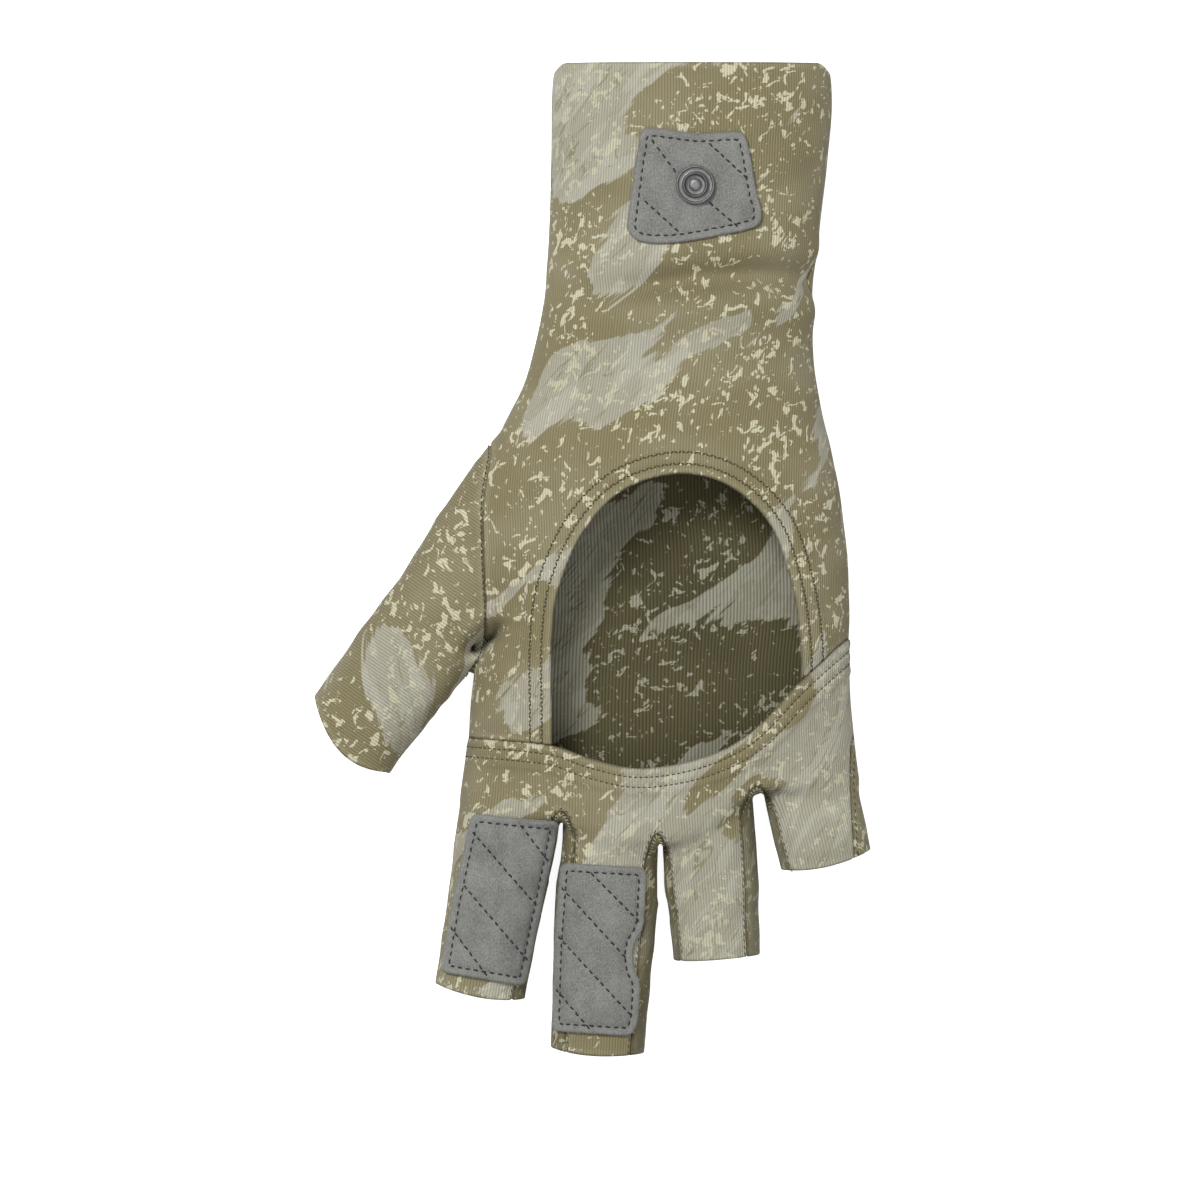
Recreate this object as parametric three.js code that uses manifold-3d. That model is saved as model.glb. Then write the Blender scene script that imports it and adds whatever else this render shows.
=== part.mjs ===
// A fingerless fishing glove for the right hand, lying palm up on a flat surface.
// It is a thin stretch-fabric shell sewn from panels: a palm panel with a large window, a back
// panel, a panel over the four short fingers, a gusset in each gap between fingers and a thumb
// sleeve. Suede pads lie on the index and middle fingers, and a suede patch with a metal snap at the cuff.
// Millimetres. X runs from the thumb side to the little finger, Y up the arm and Z up.
// While it is modelled, X is measured from the middle of the knuckles and Y from the narrow of
// the wrist; the finished group is moved so that its origin is the centre of its footprint.
import * as THREE from "three";
import { mergeVertices } from "three/addons/utils/BufferGeometryUtils.js";
import Module from "manifold-3d";

const wasm = await Module();
wasm.setup();

// Lengths along the hand
const cuffLength = 59.3;
const palmLength = 130;

// Widths of the lying glove
const cuffWidth = 69.5;
const wristWidth = 67.2;
const palmWidth = 91.5;

// Heights above the surface it lies on
const cuffHeight = 22;
const wristHeight = 23.5;
const palmHeight = 27;
const knuckleHeight = 21;
const sideSeamHeight = 10.5;
const gussetSeamHeight = 5;

// Fabric, hems and seams
const fabric = 1.2;
const hemFold = 1;
const cuffHemDepth = 10;
const windowHemDepth = 6.5;
const knuckleHemDepth = 7.5;
const seamGap = 0.3;
const gussetArchRise = 2.6;
const gussetArchLength = 5;
const webRounding = 2.2;

// Each finger: its width at the knuckle line, the shares of that width halfway and at its mouth, its
// length from the knuckle line, its height, its lean towards the thumb in degrees, how far its mouth
// bulges, the gap to the next finger at the knuckle line, and the strips of side fabric that show on
// its thumb side and on its outer side.
const indexFinger = {
  name: "index",
  width: 25.8,
  halfway: 0.945,
  mouth: 0.88,
  length: 43.6,
  height: 19.5,
  lean: 9.9,
  bulge: 1.3,
  gapAfter: 0.4,
  thumbStrip: 2.4,
  outerStrip: 2.9,
};
const middleFinger = {
  name: "middle",
  width: 24.3,
  halfway: 1.06,
  mouth: 0.97,
  length: 57.9,
  height: 20,
  lean: 3.5,
  bulge: 1.1,
  gapAfter: 0.3,
  thumbStrip: 3.6,
  outerStrip: 3.4,
};
const ringFinger = {
  name: "ring",
  width: 23.3,
  halfway: 1.01,
  mouth: 0.935,
  length: 34.6,
  height: 19,
  lean: -3.8,
  bulge: 0.4,
  gapAfter: 4,
  thumbStrip: 2.4,
  outerStrip: 3.2,
};
const littleFinger = {
  name: "little",
  width: 23.4,
  halfway: 1,
  mouth: 0.985,
  length: 10.4,
  height: 18,
  lean: -12.8,
  bulge: 1.6,
  gapAfter: 0,
  thumbStrip: 2.4,
  outerStrip: 3.6,
};
const fingers = [indexFinger, middleFinger, ringFinger, littleFinger];
const thumb = { width: 27, length: 66, height: 21, lean: 35, mouthSkew: 0.19, bulge: 4.8 };

// Suede and snap
const suede = 1.1;
const patchWidth = 33;
const patchLength = 28.4;
const indexPad = { length: 40.5, endMargin: 3.3 };
const middlePad = { length: 42.3, endMargin: 4.4 };
const snapRadius = 4.85;
const snapStudRadius = 3.05;
const snapStudHeight = 1.9;
const snapFlange = 0.9;
const snapPostRadius = 1.4;
const snapBack = 0.8;

// Shape of every cross-section: a squashed oval, cut flat where it lies
const waistShare = 0.42;
const bellyShare = 1.35;
const fullness = 0.8;
const handSides = 32;
const fingerSides = 18;
const outlineSteps = 22;
const reachBeyond = 12;

const knuckleWidth = fingers.reduce((sum, finger) => sum + finger.width + finger.gapAfter, 0);

// How far the end of the palm lies beyond the knuckle line, as shares of palmLength, at shares of
// knuckleWidth from the middle: at the thumb side, in the three gaps and at the outer side.
const webTable = [
  { at: -0.5, drop: -0.035 },
  { at: -0.25, drop: 0 },
  { at: 0, drop: 0.042 },
  { at: 0.25, drop: -0.048 },
  { at: 0.5, drop: -0.058 },
];

// The value of a table's column at a place between its rows.
function interpolate(table, key, value, at) {
  const next = table.findIndex((row) => row[key] >= at);
  if (next <= 0) {
    return table[next < 0 ? table.length - 1 : 0][value];
  }
  const from = table[next - 1];
  const to = table[next];
  return THREE.MathUtils.mapLinear(at, from[key], to[key], from[value], to[value]);
}

function webDrop(x) {
  return interpolate(webTable, "at", "drop", x / knuckleWidth) * palmLength;
}

// Cross-sections of the cuff and palm, from the cuff's edge to the web between the fingers. Each
// length is a share of the named size that it follows. shift is the share of the knuckles' width by
// which a section's middle is offset, and bow says how far the section follows the web's curve.
const handSections = [
  { y: cuffLength, width: cuffWidth * 0.955, shift: 0.0755, height: cuffHeight * 0.96 },
  { y: cuffLength * 0.983, width: cuffWidth * 0.972, shift: 0.0755, height: cuffHeight * 0.98 },
  { y: cuffLength * 0.945, width: cuffWidth * 0.998, shift: 0.0762, height: cuffHeight },
  { y: cuffLength * 0.59, width: cuffWidth * 0.996, shift: 0.07, height: cuffHeight },
  { y: cuffLength * 0.2, width: wristWidth * 1.002, shift: 0.053, height: cuffHeight },
  { y: 0, width: wristWidth, shift: 0.043, height: wristHeight },
  { y: -palmLength * 0.077, width: wristWidth * 1.03, shift: 0.0335, height: wristHeight },
  { y: -palmLength * 0.154, width: wristWidth * 1.082, shift: 0.0236, height: palmHeight * 0.9 },
  { y: -palmLength * 0.231, width: palmWidth * 0.866, shift: 0.009, height: palmHeight * 0.95 },
  { y: -palmLength * 0.35, width: palmWidth * 0.967, shift: 0, height: palmHeight },
  { y: -palmLength * 0.5, width: palmWidth, shift: 0.01, height: palmHeight },
  { y: -palmLength * 0.615, width: palmWidth * 1.003, shift: 0.011, height: palmHeight * 0.98 },
  { y: -palmLength * 0.69, width: knuckleWidth * 0.919, shift: 0.004, height: palmHeight * 0.95 },
  { y: -palmLength * 0.77, width: knuckleWidth * 0.934, shift: 0, height: palmHeight * 0.9, bow: 0.15 },
  { y: -palmLength * 0.845, width: knuckleWidth * 0.95, shift: 0, height: palmHeight * 0.85, bow: 0.4 },
  { y: -palmLength * 0.915, width: knuckleWidth * 0.97, shift: 0, height: knuckleHeight * 1.04, bow: 0.7 },
  { y: -palmLength * 0.965, width: knuckleWidth * 0.985, shift: 0, height: knuckleHeight, bow: 1 },
];

// The rounded end of the palm: how far each last section lies inside the web, and its height.
const webSections = [
  { inside: webRounding, height: 0.95 },
  { inside: webRounding * 0.36, height: 0.84 },
  { inside: 0, height: 0.66 },
];

// One closed ring of points around a limb, pushed in by inset on every side. Skew turns the ring in
// the plan, and bulge rounds it along the limb.
function ringPoints(section, inset, sides) {
  const waist = section.height * waistShare;
  const points = [];
  for (let i = 0; i < sides; i++) {
    const turn = (2 * Math.PI * i) / sides;
    const across = Math.sign(Math.cos(turn)) * Math.abs(Math.cos(turn)) ** fullness;
    const up = Math.sign(Math.sin(turn)) * Math.abs(Math.sin(turn)) ** fullness;
    const out = across * ((across < 0 ? section.left : section.right) - inset);
    const along = section.skew * out + section.bulge * (1 - across * across);
    const rise = up > 0 ? up * (section.height - inset - waist) : up * (waist * bellyShare - inset);
    const x = section.x + section.across.x * out + section.axis.x * along;
    const y = section.y + section.across.y * out + section.axis.y * along;
    const web = section.bow ? section.bow * webDrop(x) : 0;
    points.push(new THREE.Vector3(x, y - web, Math.max(waist + rise, inset)));
  }
  return points;
}

// A manifold-3d solid of a closed three.js geometry.
function solidOf(geometry) {
  const plain = new THREE.BufferGeometry();
  const source = geometry.index ? geometry.toNonIndexed() : geometry;
  plain.setAttribute("position", source.getAttribute("position"));
  const merged = mergeVertices(plain, 1e-4);
  return new wasm.Manifold(
    new wasm.Mesh({
      numProp: 3,
      vertProperties: new Float32Array(merged.attributes.position.array),
      triVerts: new Uint32Array(merged.index.array),
    }),
  );
}

// The triangles that close a ring. It is the same above and below, so facing points are joined.
function ringCap(sides) {
  const triangles = [];
  for (let i = 0; i < sides / 2; i++) {
    const facing = (sides - i) % sides;
    const nextFacing = sides - i - 1;
    if (nextFacing !== i + 1) {
      triangles.push([i, i + 1, nextFacing]);
    }
    if (facing !== i) {
      triangles.push([i, nextFacing, facing]);
    }
  }
  return triangles;
}

// A closed solid lofted through rings that all have the same number of points.
function loftSolid(rings) {
  const sides = rings[0].length;
  const triangles = [];
  for (let k = 0; k + 1 < rings.length; k++) {
    for (let i = 0; i < sides; i++) {
      const a = k * sides + i;
      const b = k * sides + ((i + 1) % sides);
      triangles.push(a, b, a + sides, b, b + sides, a + sides);
    }
  }
  const lastRing = (rings.length - 1) * sides;
  for (const [a, b, c] of ringCap(sides)) {
    triangles.push(c, b, a, lastRing + a, lastRing + b, lastRing + c);
  }
  const geometry = new THREE.BufferGeometry().setFromPoints(rings.flat());
  geometry.setIndex(triangles);
  return solidOf(geometry);
}

// The cuff and palm as one closed form, pushed in by inset. With an open cuff it runs on past the
// cuff's edge, and inside the hem it is narrower by the folded cloth.
function handForm(inset, { open = false } = {}) {
  const ring = (row, pushedIn) => {
    const section = {
      bow: 0,
      ...row,
      x: row.shift * knuckleWidth,
      left: row.width / 2,
      right: row.width / 2,
      across: new THREE.Vector2(1, 0),
      axis: new THREE.Vector2(0, -1),
      skew: 0,
      bulge: 0,
    };
    return ringPoints(section, pushedIn, handSides);
  };
  const last = handSections[handSections.length - 1];
  const web = webSections.map((row) => ({
    ...last,
    y: -palmLength + row.inside + inset,
    height: knuckleHeight * row.height,
  }));
  const rows = [...handSections, ...web];
  if (!open) {
    return loftSolid(rows.map((row) => ring(row, inset)));
  }
  const hemEnd = cuffLength - cuffHemDepth;
  const hem = rows.filter((row) => row.y > hemEnd);
  const below = rows.filter((row) => row.y < hemEnd - 2 * hemFold);
  const narrow = [{ ...hem[0], y: cuffLength + reachBeyond }, ...hem, { ...hem[hem.length - 1], y: hemEnd }];
  const wide = [{ ...hem[hem.length - 1], y: hemEnd - hemFold }, ...below];
  return loftSolid([
    ...narrow.map((row) => ring(row, inset + hemFold)),
    ...wide.map((row) => ring(row, inset)),
  ]);
}

// Where a finger starts on the knuckle line, and the directions along and across it.
function fingerFrame(index) {
  const finger = fingers[index];
  const before = fingers.slice(0, index).reduce((sum, other) => sum + other.width + other.gapAfter, 0);
  const lean = THREE.MathUtils.degToRad(finger.lean);
  return {
    x: -knuckleWidth / 2 + before + finger.width / 2,
    y: -palmLength,
    axis: new THREE.Vector2(-Math.sin(lean), -Math.cos(lean)),
    across: new THREE.Vector2(Math.cos(lean), -Math.sin(lean)),
  };
}

// A point of the plan, at a distance along a limb and another across it.
function planPoint(frame, along, across) {
  return new THREE.Vector2(
    frame.x + frame.axis.x * along + frame.across.x * across,
    frame.y + frame.axis.y * along + frame.across.y * across,
  );
}

function limbSection(frame, along, shape) {
  const point = planPoint(frame, along, 0);
  return { skew: 0, bulge: 0, bow: 0, ...frame, ...shape, x: point.x, y: point.y };
}

// A closed form through the sections of a limb. With an open mouth it runs on past it.
function limbForm(frame, sections, inset, open) {
  const mouth = sections[sections.length - 1];
  const beyond = { ...mouth, along: mouth.along + reachBeyond };
  const [root, ...others] = open ? [...sections, beyond] : sections;
  const rows = [{ ...root, along: root.along + inset }, ...others];
  return loftSolid(rows.map((row) => ringPoints(limbSection(frame, row.along, row), inset, fingerSides)));
}

// How far inside the palm a finger's form starts, and its width and height there.
const fingerRoot = { reach: 16, width: 0.88, height: 0.86 };

function fingerRows(finger) {
  return [
    { along: -fingerRoot.reach, width: fingerRoot.width, height: fingerRoot.height },
    { along: 0, width: 1, height: 0.98 },
    { along: finger.length * 0.38, width: finger.halfway, height: 1 },
    { along: finger.length * 0.7, width: (2 * finger.mouth + finger.halfway) / 3, height: 0.98 },
    { along: finger.length, width: finger.mouth, height: 0.93, bulge: finger.bulge },
  ];
}

// With grow the form is larger on every side.
function fingerForm(index, inset, { open = false, grow = 0 } = {}) {
  const finger = fingers[index];
  const sections = fingerRows(finger).map((row) => {
    const reach = (finger.width * row.width) / 2 + grow;
    return { ...row, left: reach, right: reach, height: finger.height * row.height + grow };
  });
  return limbForm(fingerFrame(index), sections, inset, open);
}

// The line at a strip's width inside a finger's outline, from a distance along it to beyond its mouth.
function sideSeam(index, sign, strip, start) {
  const frame = fingerFrame(index);
  const finger = fingers[index];
  const rows = fingerRows(finger);
  const stops = rows.map((row) => row.along).filter((along) => along > start + fabric);
  return [start, ...stops, finger.length + reachBeyond].map((along) => {
    const reach = (finger.width * interpolate(rows, "along", "width", along)) / 2;
    return planPoint(frame, along, sign * (reach - strip));
  });
}

// The thumb's frame starts inside the palm and runs to the middle of its mouth. Each section's
// reach towards its outer and inner side is a share of the thumb's width.
const thumbRoot = { x: knuckleWidth * -0.388, y: palmLength * -0.423 };
const thumbTable = [
  { along: -0.36, outer: 0.46, inner: 0.55, height: 0.75 },
  { along: -0.2, outer: 0.51, inner: 0.8, height: 0.9 },
  { along: 0.06, outer: 0.519, inner: 0.95, height: 1 },
  { along: 0.24, outer: 0.504, inner: 0.85, height: 1.06 },
  { along: 0.42, outer: 0.483, inner: 0.66, height: 1.05 },
  { along: 0.57, outer: 0.494, inner: 0.55, height: 1.02 },
  { along: 0.8, outer: 0.503, inner: 0.51, height: 1 },
  { along: 1, outer: 0.503, inner: 0.475, height: 0.95 },
];

function thumbFrame() {
  const lean = THREE.MathUtils.degToRad(thumb.lean);
  return {
    ...thumbRoot,
    axis: new THREE.Vector2(-Math.sin(lean), -Math.cos(lean)),
    across: new THREE.Vector2(Math.cos(lean), -Math.sin(lean)),
  };
}

function thumbForm(inset, { open = false } = {}) {
  const sections = thumbTable.map((row) => ({
    along: row.along * thumb.length,
    left: thumb.width * row.outer,
    right: thumb.width * row.inner,
    height: thumb.height * row.height,
    skew: row.along === 1 ? thumb.mouthSkew : 0,
    bulge: row.along === 1 ? thumb.bulge : 0,
  }));
  return limbForm(thumbFrame(), sections, inset, open);
}

// A tall solid over a closed outline of plan points, between two heights.
function prism(points, low, high) {
  const shape = new THREE.Shape(points);
  const geometry = new THREE.ExtrudeGeometry(shape, { depth: high - low, bevelEnabled: false, steps: 1 });
  geometry.translate(0, 0, low);
  return solidOf(geometry);
}

// A smooth line through plan points that are given as shares of the knuckle width and palm length.
function smoothLine(shares, { grow = 0, steps = outlineSteps } = {}) {
  const knots = shares.map((row) => new THREE.Vector2(row.x * knuckleWidth, -row.y * palmLength));
  const curve = new THREE.SplineCurve(knots);
  return curve.getPoints(steps).map((point, k) => {
    const tangent = curve.getTangent(k / steps);
    return new THREE.Vector2(point.x - tangent.y * grow, point.y + tangent.x * grow);
  });
}

// How far the cutting solids reach above, below and beside the glove.
const top = 60;
const bottom = -10;
const side = 400;

// The seam where the finger panel meets the palm panel, and bounds the window from below.
const knuckleSeam = [
  { x: -0.643, y: 0.837 },
  { x: -0.47, y: 0.842 },
  { x: -0.273, y: 0.856 },
  { x: -0.175, y: 0.881 },
  { x: -0.052, y: 0.9 },
  { x: 0.096, y: 0.881 },
  { x: 0.219, y: 0.833 },
  { x: 0.342, y: 0.735 },
  { x: 0.466, y: 0.65 },
  { x: 0.589, y: 0.577 },
];

function fingersRegion(grow) {
  const line = smoothLine(knuckleSeam, { grow });
  return prism([...line, new THREE.Vector2(side, -side), new THREE.Vector2(-side, -side)], bottom, top);
}

// The window in the palm panel. Its two lowest points lie below the knuckle seam.
const windowEdge = [
  { x: -0.2685, y: 0.95 },
  { x: -0.2685, y: 0.8 },
  { x: -0.2685, y: 0.654 },
  { x: -0.249, y: 0.548 },
  { x: -0.187, y: 0.442 },
  { x: -0.089, y: 0.365 },
  { x: 0.047, y: 0.335 },
  { x: 0.17, y: 0.36 },
  { x: 0.2685, y: 0.433 },
  { x: 0.318, y: 0.538 },
  { x: 0.342, y: 0.654 },
  { x: 0.347, y: 0.8 },
  { x: 0.347, y: 0.95 },
];

function windowRegion(grow) {
  return prism(smoothLine(windowEdge, { grow }), sideSeamHeight, top);
}

// The seam that sets the thumb sleeve into the hand, from the wrist side to the thumb's crotch.
const thumbSeam = [
  { x: -0.51, y: 0.15 },
  { x: -0.424, y: 0.2615 },
  { x: -0.438, y: 0.385 },
  { x: -0.436, y: 0.5 },
  { x: -0.429, y: 0.615 },
  { x: -0.438, y: 0.673 },
  { x: -0.474, y: 0.725 },
  { x: -0.544, y: 0.82 },
];

function thumbRegion(grow) {
  const line = smoothLine(thumbSeam, { grow });
  const clearOfIndex = new THREE.Vector2(line[line.length - 1].x - 0.07 * knuckleWidth, -palmLength);
  const corners = [clearOfIndex, new THREE.Vector2(clearOfIndex.x, -side), new THREE.Vector2(-side, -side)];
  return prism([...line, ...corners, new THREE.Vector2(-side, 0)], bottom, top);
}

// The strip of side fabric between two fingers, arched round their crotch.
function gussetRegion(index, grow) {
  const finger = fingers[index];
  const slit = fingerFrame(index).x + (finger.width + finger.gapAfter) / 2;
  const crotch = -palmLength - webDrop(slit);
  const foot = webDrop(slit) + gussetArchLength;
  const near = sideSeam(index, 1, finger.outerStrip + grow, foot);
  const far = sideSeam(index + 1, -1, fingers[index + 1].thumbStrip + grow, foot);
  const middle = (near[0].x + far[0].x) / 2;
  const peak = new THREE.Vector2(middle, crotch + 2 * (gussetArchRise + grow) + gussetArchLength);
  const arch = new THREE.QuadraticBezierCurve(near[0], peak, far[0]);
  const outline = [...near.slice(1).reverse(), ...arch.getPoints(8), ...far.slice(1)];
  return prism(outline, gussetSeamHeight - grow, top);
}

// The strips where the back panel wraps round the outer side of the index and little fingers.
const wrapStart = 10;

function wrapRegion(index, sign, strip, grow) {
  const frame = fingerFrame(index);
  const finger = fingers[index];
  const edge = finger.width / 2;
  const outline = [
    planPoint(frame, -wrapStart, sign * (edge + reachBeyond)),
    planPoint(frame, -wrapStart, sign * (edge - grow)),
    ...sideSeam(index, sign, strip + grow, 0),
    planPoint(frame, finger.length + reachBeyond, sign * (edge + reachBeyond)),
  ];
  return prism(outline, sideSeamHeight - reachBeyond, top);
}

const above = (height) =>
  solidOf(new THREE.BoxGeometry(2 * side, 2 * side, top).translate(0, 0, height + top / 2));

// The largest body of a solid. The cuts leave crumbs of no size beside it.
function mainBody(solid) {
  return solid.decompose().reduce((main, body) => (body.volume() > main.volume() ? body : main));
}

// The whole sewn shell, and the space that a hand fills.
const indices = fingers.map((finger, index) => index);

function wholeForm(inset, open) {
  const limbs = [...indices.map((index) => fingerForm(index, inset, { open })), thumbForm(inset, { open })];
  return limbs.reduce((form, limb) => form.add(limb), handForm(inset, { open }));
}

const outer = wholeForm(0, false);
const inner = wholeForm(fabric, true);
const folded = wholeForm(fabric + hemFold, true);
const shell = outer.subtract(inner);
const foldLayer = inner.intersect(outer).subtract(folded);
const half = seamGap / 2;

// Each region is a little smaller or larger than its seam, so that the sewn edges stay apart.
const wraps = (grow) =>
  wrapRegion(0, -1, fingers[0].thumbStrip, grow).add(
    wrapRegion(fingers.length - 1, 1, fingers[fingers.length - 1].outerStrip, grow),
  );
const gaps = indices.slice(0, -1);
const allGussets = (grow) =>
  gaps.map((index) => gussetRegion(index, grow)).reduce((all, region) => all.add(region));

// A snap stud passes through the patch and the palm panel.
const snap = { x: knuckleWidth * 0.0837, y: cuffLength * 0.4806 };
const cuffTop = (y) => {
  const rows = handSections.map((row) => ({ at: -row.y, height: row.height }));
  return interpolate(rows, "at", "height", -y);
};
const panelTop = cuffTop(snap.y);
const patchTop = panelTop + seamGap + suede;

function cylinder(radius, low, high, sides = 20) {
  const geometry = new THREE.CylinderGeometry(radius, radius, high - low, sides);
  geometry.rotateX(Math.PI / 2).translate(snap.x, snap.y, (low + high) / 2);
  return solidOf(geometry);
}
const snapHole = cylinder(snapPostRadius + seamGap, sideSeamHeight, top);

function palmPanel() {
  const panel = shell.intersect(above(sideSeamHeight + half)).subtract(fingersRegion(half));
  const hem = foldLayer
    .intersect(windowRegion(windowHemDepth))
    .intersect(above(sideSeamHeight + half))
    .subtract(fingersRegion(half));
  return panel.add(hem).subtract(thumbRegion(half)).subtract(windowRegion(0)).subtract(snapHole);
}

function fingerPanel() {
  const hemBand = fingersRegion(-half).subtract(fingersRegion(-half - knuckleHemDepth));
  const hem = foldLayer.intersect(hemBand);
  const panel = shell.intersect(fingersRegion(-half)).add(hem);
  return panel
    .intersect(above(sideSeamHeight + half))
    .subtract(allGussets(half))
    .subtract(thumbRegion(half))
    .subtract(wraps(half));
}

function backPanel() {
  const palmSide = above(sideSeamHeight - half).subtract(wraps(-half));
  return shell.subtract(thumbRegion(half)).subtract(palmSide).subtract(allGussets(half));
}

function gusset(index) {
  return shell.intersect(fingersRegion(-half)).intersect(gussetRegion(index, -half));
}

function thumbSleeve() {
  return shell.intersect(thumbRegion(-half));
}

// A closed smooth outline through plan points, as a tall solid.
function smoothRegion(knots, tension) {
  const corners = knots.map((knot) => new THREE.Vector3(knot.x, knot.y, 0));
  const curve = new THREE.CatmullRomCurve3(corners, true, "catmullrom", tension);
  const outline = curve.getPoints(2 * outlineSteps).slice(0, -1);
  return prism(outline.map((point) => new THREE.Vector2(point.x, point.y)), sideSeamHeight, top);
}

// A pad of suede on a finger. Its corners are shares of its length along the finger and of the
// finger's width across it.
function fingerPad(index, pad, corners) {
  const frame = fingerFrame(index);
  const finger = fingers[index];
  const start = finger.length - pad.endMargin - pad.length;
  const knots = corners.map((row) =>
    planPoint(frame, start + row.along * pad.length, row.across * finger.width),
  );
  const underside = fingerForm(index, 0, { grow: seamGap });
  const skin = fingerForm(index, 0, { grow: seamGap + suede }).subtract(underside);
  return skin.intersect(smoothRegion(knots, 0.35)).subtract(handForm(-seamGap));
}

const indexPadCorners = [
  { along: 0.01, across: -0.37 },
  { along: -0.02, across: 0.1 },
  { along: -0.03, across: 0.45 },
  { along: 0.06, across: 0.49 },
  { along: 0.5, across: 0.43 },
  { along: 0.64, across: 0.445 },
  { along: 0.97, across: 0.437 },
  { along: 1, across: 0 },
  { along: 0.98, across: -0.41 },
  { along: 0.58, across: -0.424 },
  { along: 0.2, across: -0.375 },
];

const middlePadCorners = [
  { along: 0, across: -0.47 },
  { along: 0, across: 0.3 },
  { along: 0.03, across: 0.39 },
  { along: 0.13, across: 0.41 },
  { along: 0.36, across: 0.4 },
  { along: 0.46, across: 0.3 },
  { along: 0.6, across: 0.33 },
  { along: 0.66, across: 0.4 },
  { along: 0.92, across: 0.41 },
  { along: 1, across: 0.35 },
  { along: 1, across: -0.44 },
  { along: 0.5, across: -0.5 },
];

// The cuff patch: its corners as shares of its width and length about the snap.
const patchCorners = [
  { x: -0.376, y: 0.498 },
  { x: 0.012, y: 0.454 },
  { x: 0.321, y: 0.467 },
  { x: 0.398, y: 0.373 },
  { x: 0.467, y: -0.05 },
  { x: 0.506, y: -0.246 },
  { x: 0.445, y: -0.373 },
  { x: -0.027, y: -0.489 },
  { x: -0.26, y: -0.512 },
  { x: -0.429, y: -0.489 },
  { x: -0.515, y: -0.39 },
  { x: -0.506, y: -0.275 },
  { x: -0.476, y: 0 },
  { x: -0.436, y: 0.31 },
];

function wristPatch() {
  const knots = patchCorners.map(
    (row) => new THREE.Vector2(snap.x + row.x * patchWidth, snap.y + row.y * patchLength),
  );
  const skin = handForm(-seamGap - suede).subtract(handForm(-seamGap));
  return skin.intersect(smoothRegion(knots, 0.4)).subtract(snapHole);
}

// The snap: a flange with a raised rim, a hollow stud with a domed rivet in it, and the post.
function snapStud() {
  const rim = 0.35;
  const base = patchTop + seamGap;
  const flangeTop = base + snapFlange;
  const studTop = flangeTop + snapStudHeight;
  const rivetRadius = snapStudRadius * 0.52;
  const profile = [
    [0, panelTop - fabric],
    [snapPostRadius, panelTop - fabric],
    [snapPostRadius, base],
    [snapRadius, base],
    [snapRadius, flangeTop],
    [snapRadius - rim, flangeTop + rim],
    [snapRadius - 2 * rim, flangeTop],
    [snapStudRadius, flangeTop - rim / 2],
    [snapStudRadius, studTop],
    [snapStudRadius * 0.83, studTop],
    [snapStudRadius * 0.8, flangeTop],
    [rivetRadius, flangeTop],
    [rivetRadius * 0.9, flangeTop + snapStudHeight * 0.4],
    [0, flangeTop + snapStudHeight * 0.6],
  ];
  return lathe(profile);
}

function lathe(profile) {
  const geometry = new THREE.LatheGeometry(profile.map(([r, z]) => new THREE.Vector2(r, z)), 24);
  geometry.rotateX(Math.PI / 2).translate(snap.x, snap.y, 0);
  return solidOf(geometry);
}

function snapBackDisc() {
  const discTop = panelTop - fabric - seamGap;
  const rounding = 0.3;
  return lathe([
    [0, discTop - snapBack],
    [snapRadius - rounding, discTop - snapBack],
    [snapRadius, discTop - snapBack + rounding],
    [snapRadius, discTop],
    [0, discTop],
  ]);
}

const materials = {
  camo: new THREE.MeshStandardMaterial({ color: 0x8f8867, roughness: 0.85, metalness: 0 }),
  camoPale: new THREE.MeshStandardMaterial({ color: 0xa5a08a, roughness: 0.85, metalness: 0 }),
  suede: new THREE.MeshStandardMaterial({ color: 0x82817d, roughness: 0.95, metalness: 0 }),
  gunmetal: new THREE.MeshStandardMaterial({ color: 0x77747a, roughness: 0.4, metalness: 0.8 }),
};

const glove = new THREE.Group();

function addPiece(name, solid, material) {
  const { numProp, vertProperties, triVerts } = mainBody(solid).getMesh();
  const corners = new Float32Array((vertProperties.length / numProp) * 3);
  for (let i = 0; i * numProp < vertProperties.length; i++) {
    corners.set(vertProperties.subarray(i * numProp, i * numProp + 3), i * 3);
  }
  const geometry = new THREE.BufferGeometry();
  geometry.setAttribute("position", new THREE.BufferAttribute(corners, 3));
  geometry.setIndex(new THREE.BufferAttribute(new Uint32Array(triVerts), 1));
  const mesh = new THREE.Mesh(geometry, material.clone());
  mesh.name = name;
  glove.add(mesh);
}

addPiece("palm_panel", palmPanel(), materials.camo);
addPiece("back_panel", backPanel(), materials.camo);
addPiece("finger_panel", fingerPanel(), materials.camo);
addPiece("thumb_sleeve", thumbSleeve(), materials.camo);
for (const index of gaps) {
  addPiece(`gusset_${fingers[index].name}_${fingers[index + 1].name}`, gusset(index), materials.camoPale);
}
addPiece("index_pad", fingerPad(0, indexPad, indexPadCorners), materials.suede);
addPiece("middle_pad", fingerPad(1, middlePad, middlePadCorners), materials.suede);
addPiece("wrist_patch", wristPatch(), materials.suede);
addPiece("snap_stud", snapStud(), materials.gunmetal);
addPiece("snap_back", snapBackDisc(), materials.gunmetal);

// The origin is the centre of the footprint, on the surface that the glove lies on.
const extent = new THREE.Box3().setFromObject(glove);
const middle = extent.getCenter(new THREE.Vector3());
glove.position.set(-middle.x, -middle.y, 0);

export default glove;
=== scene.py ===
"""A fingerless fishing glove for the right hand, lying palm up on a pale surface.

Its shell is one smooth form, cut along the real seams into cloth panels with rounded edges,
folded hems and rows of thread, and it carries suede pads, a suede patch and a metal snap.
Lengths are millimetres until a mesh is made. X runs from the thumb side to the little finger,
measured from the middle of the knuckles, and Y runs up the arm from the narrow of the wrist.
"""

import logging
import math
from collections.abc import Callable
from dataclasses import dataclass, field
from enum import Enum

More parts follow.
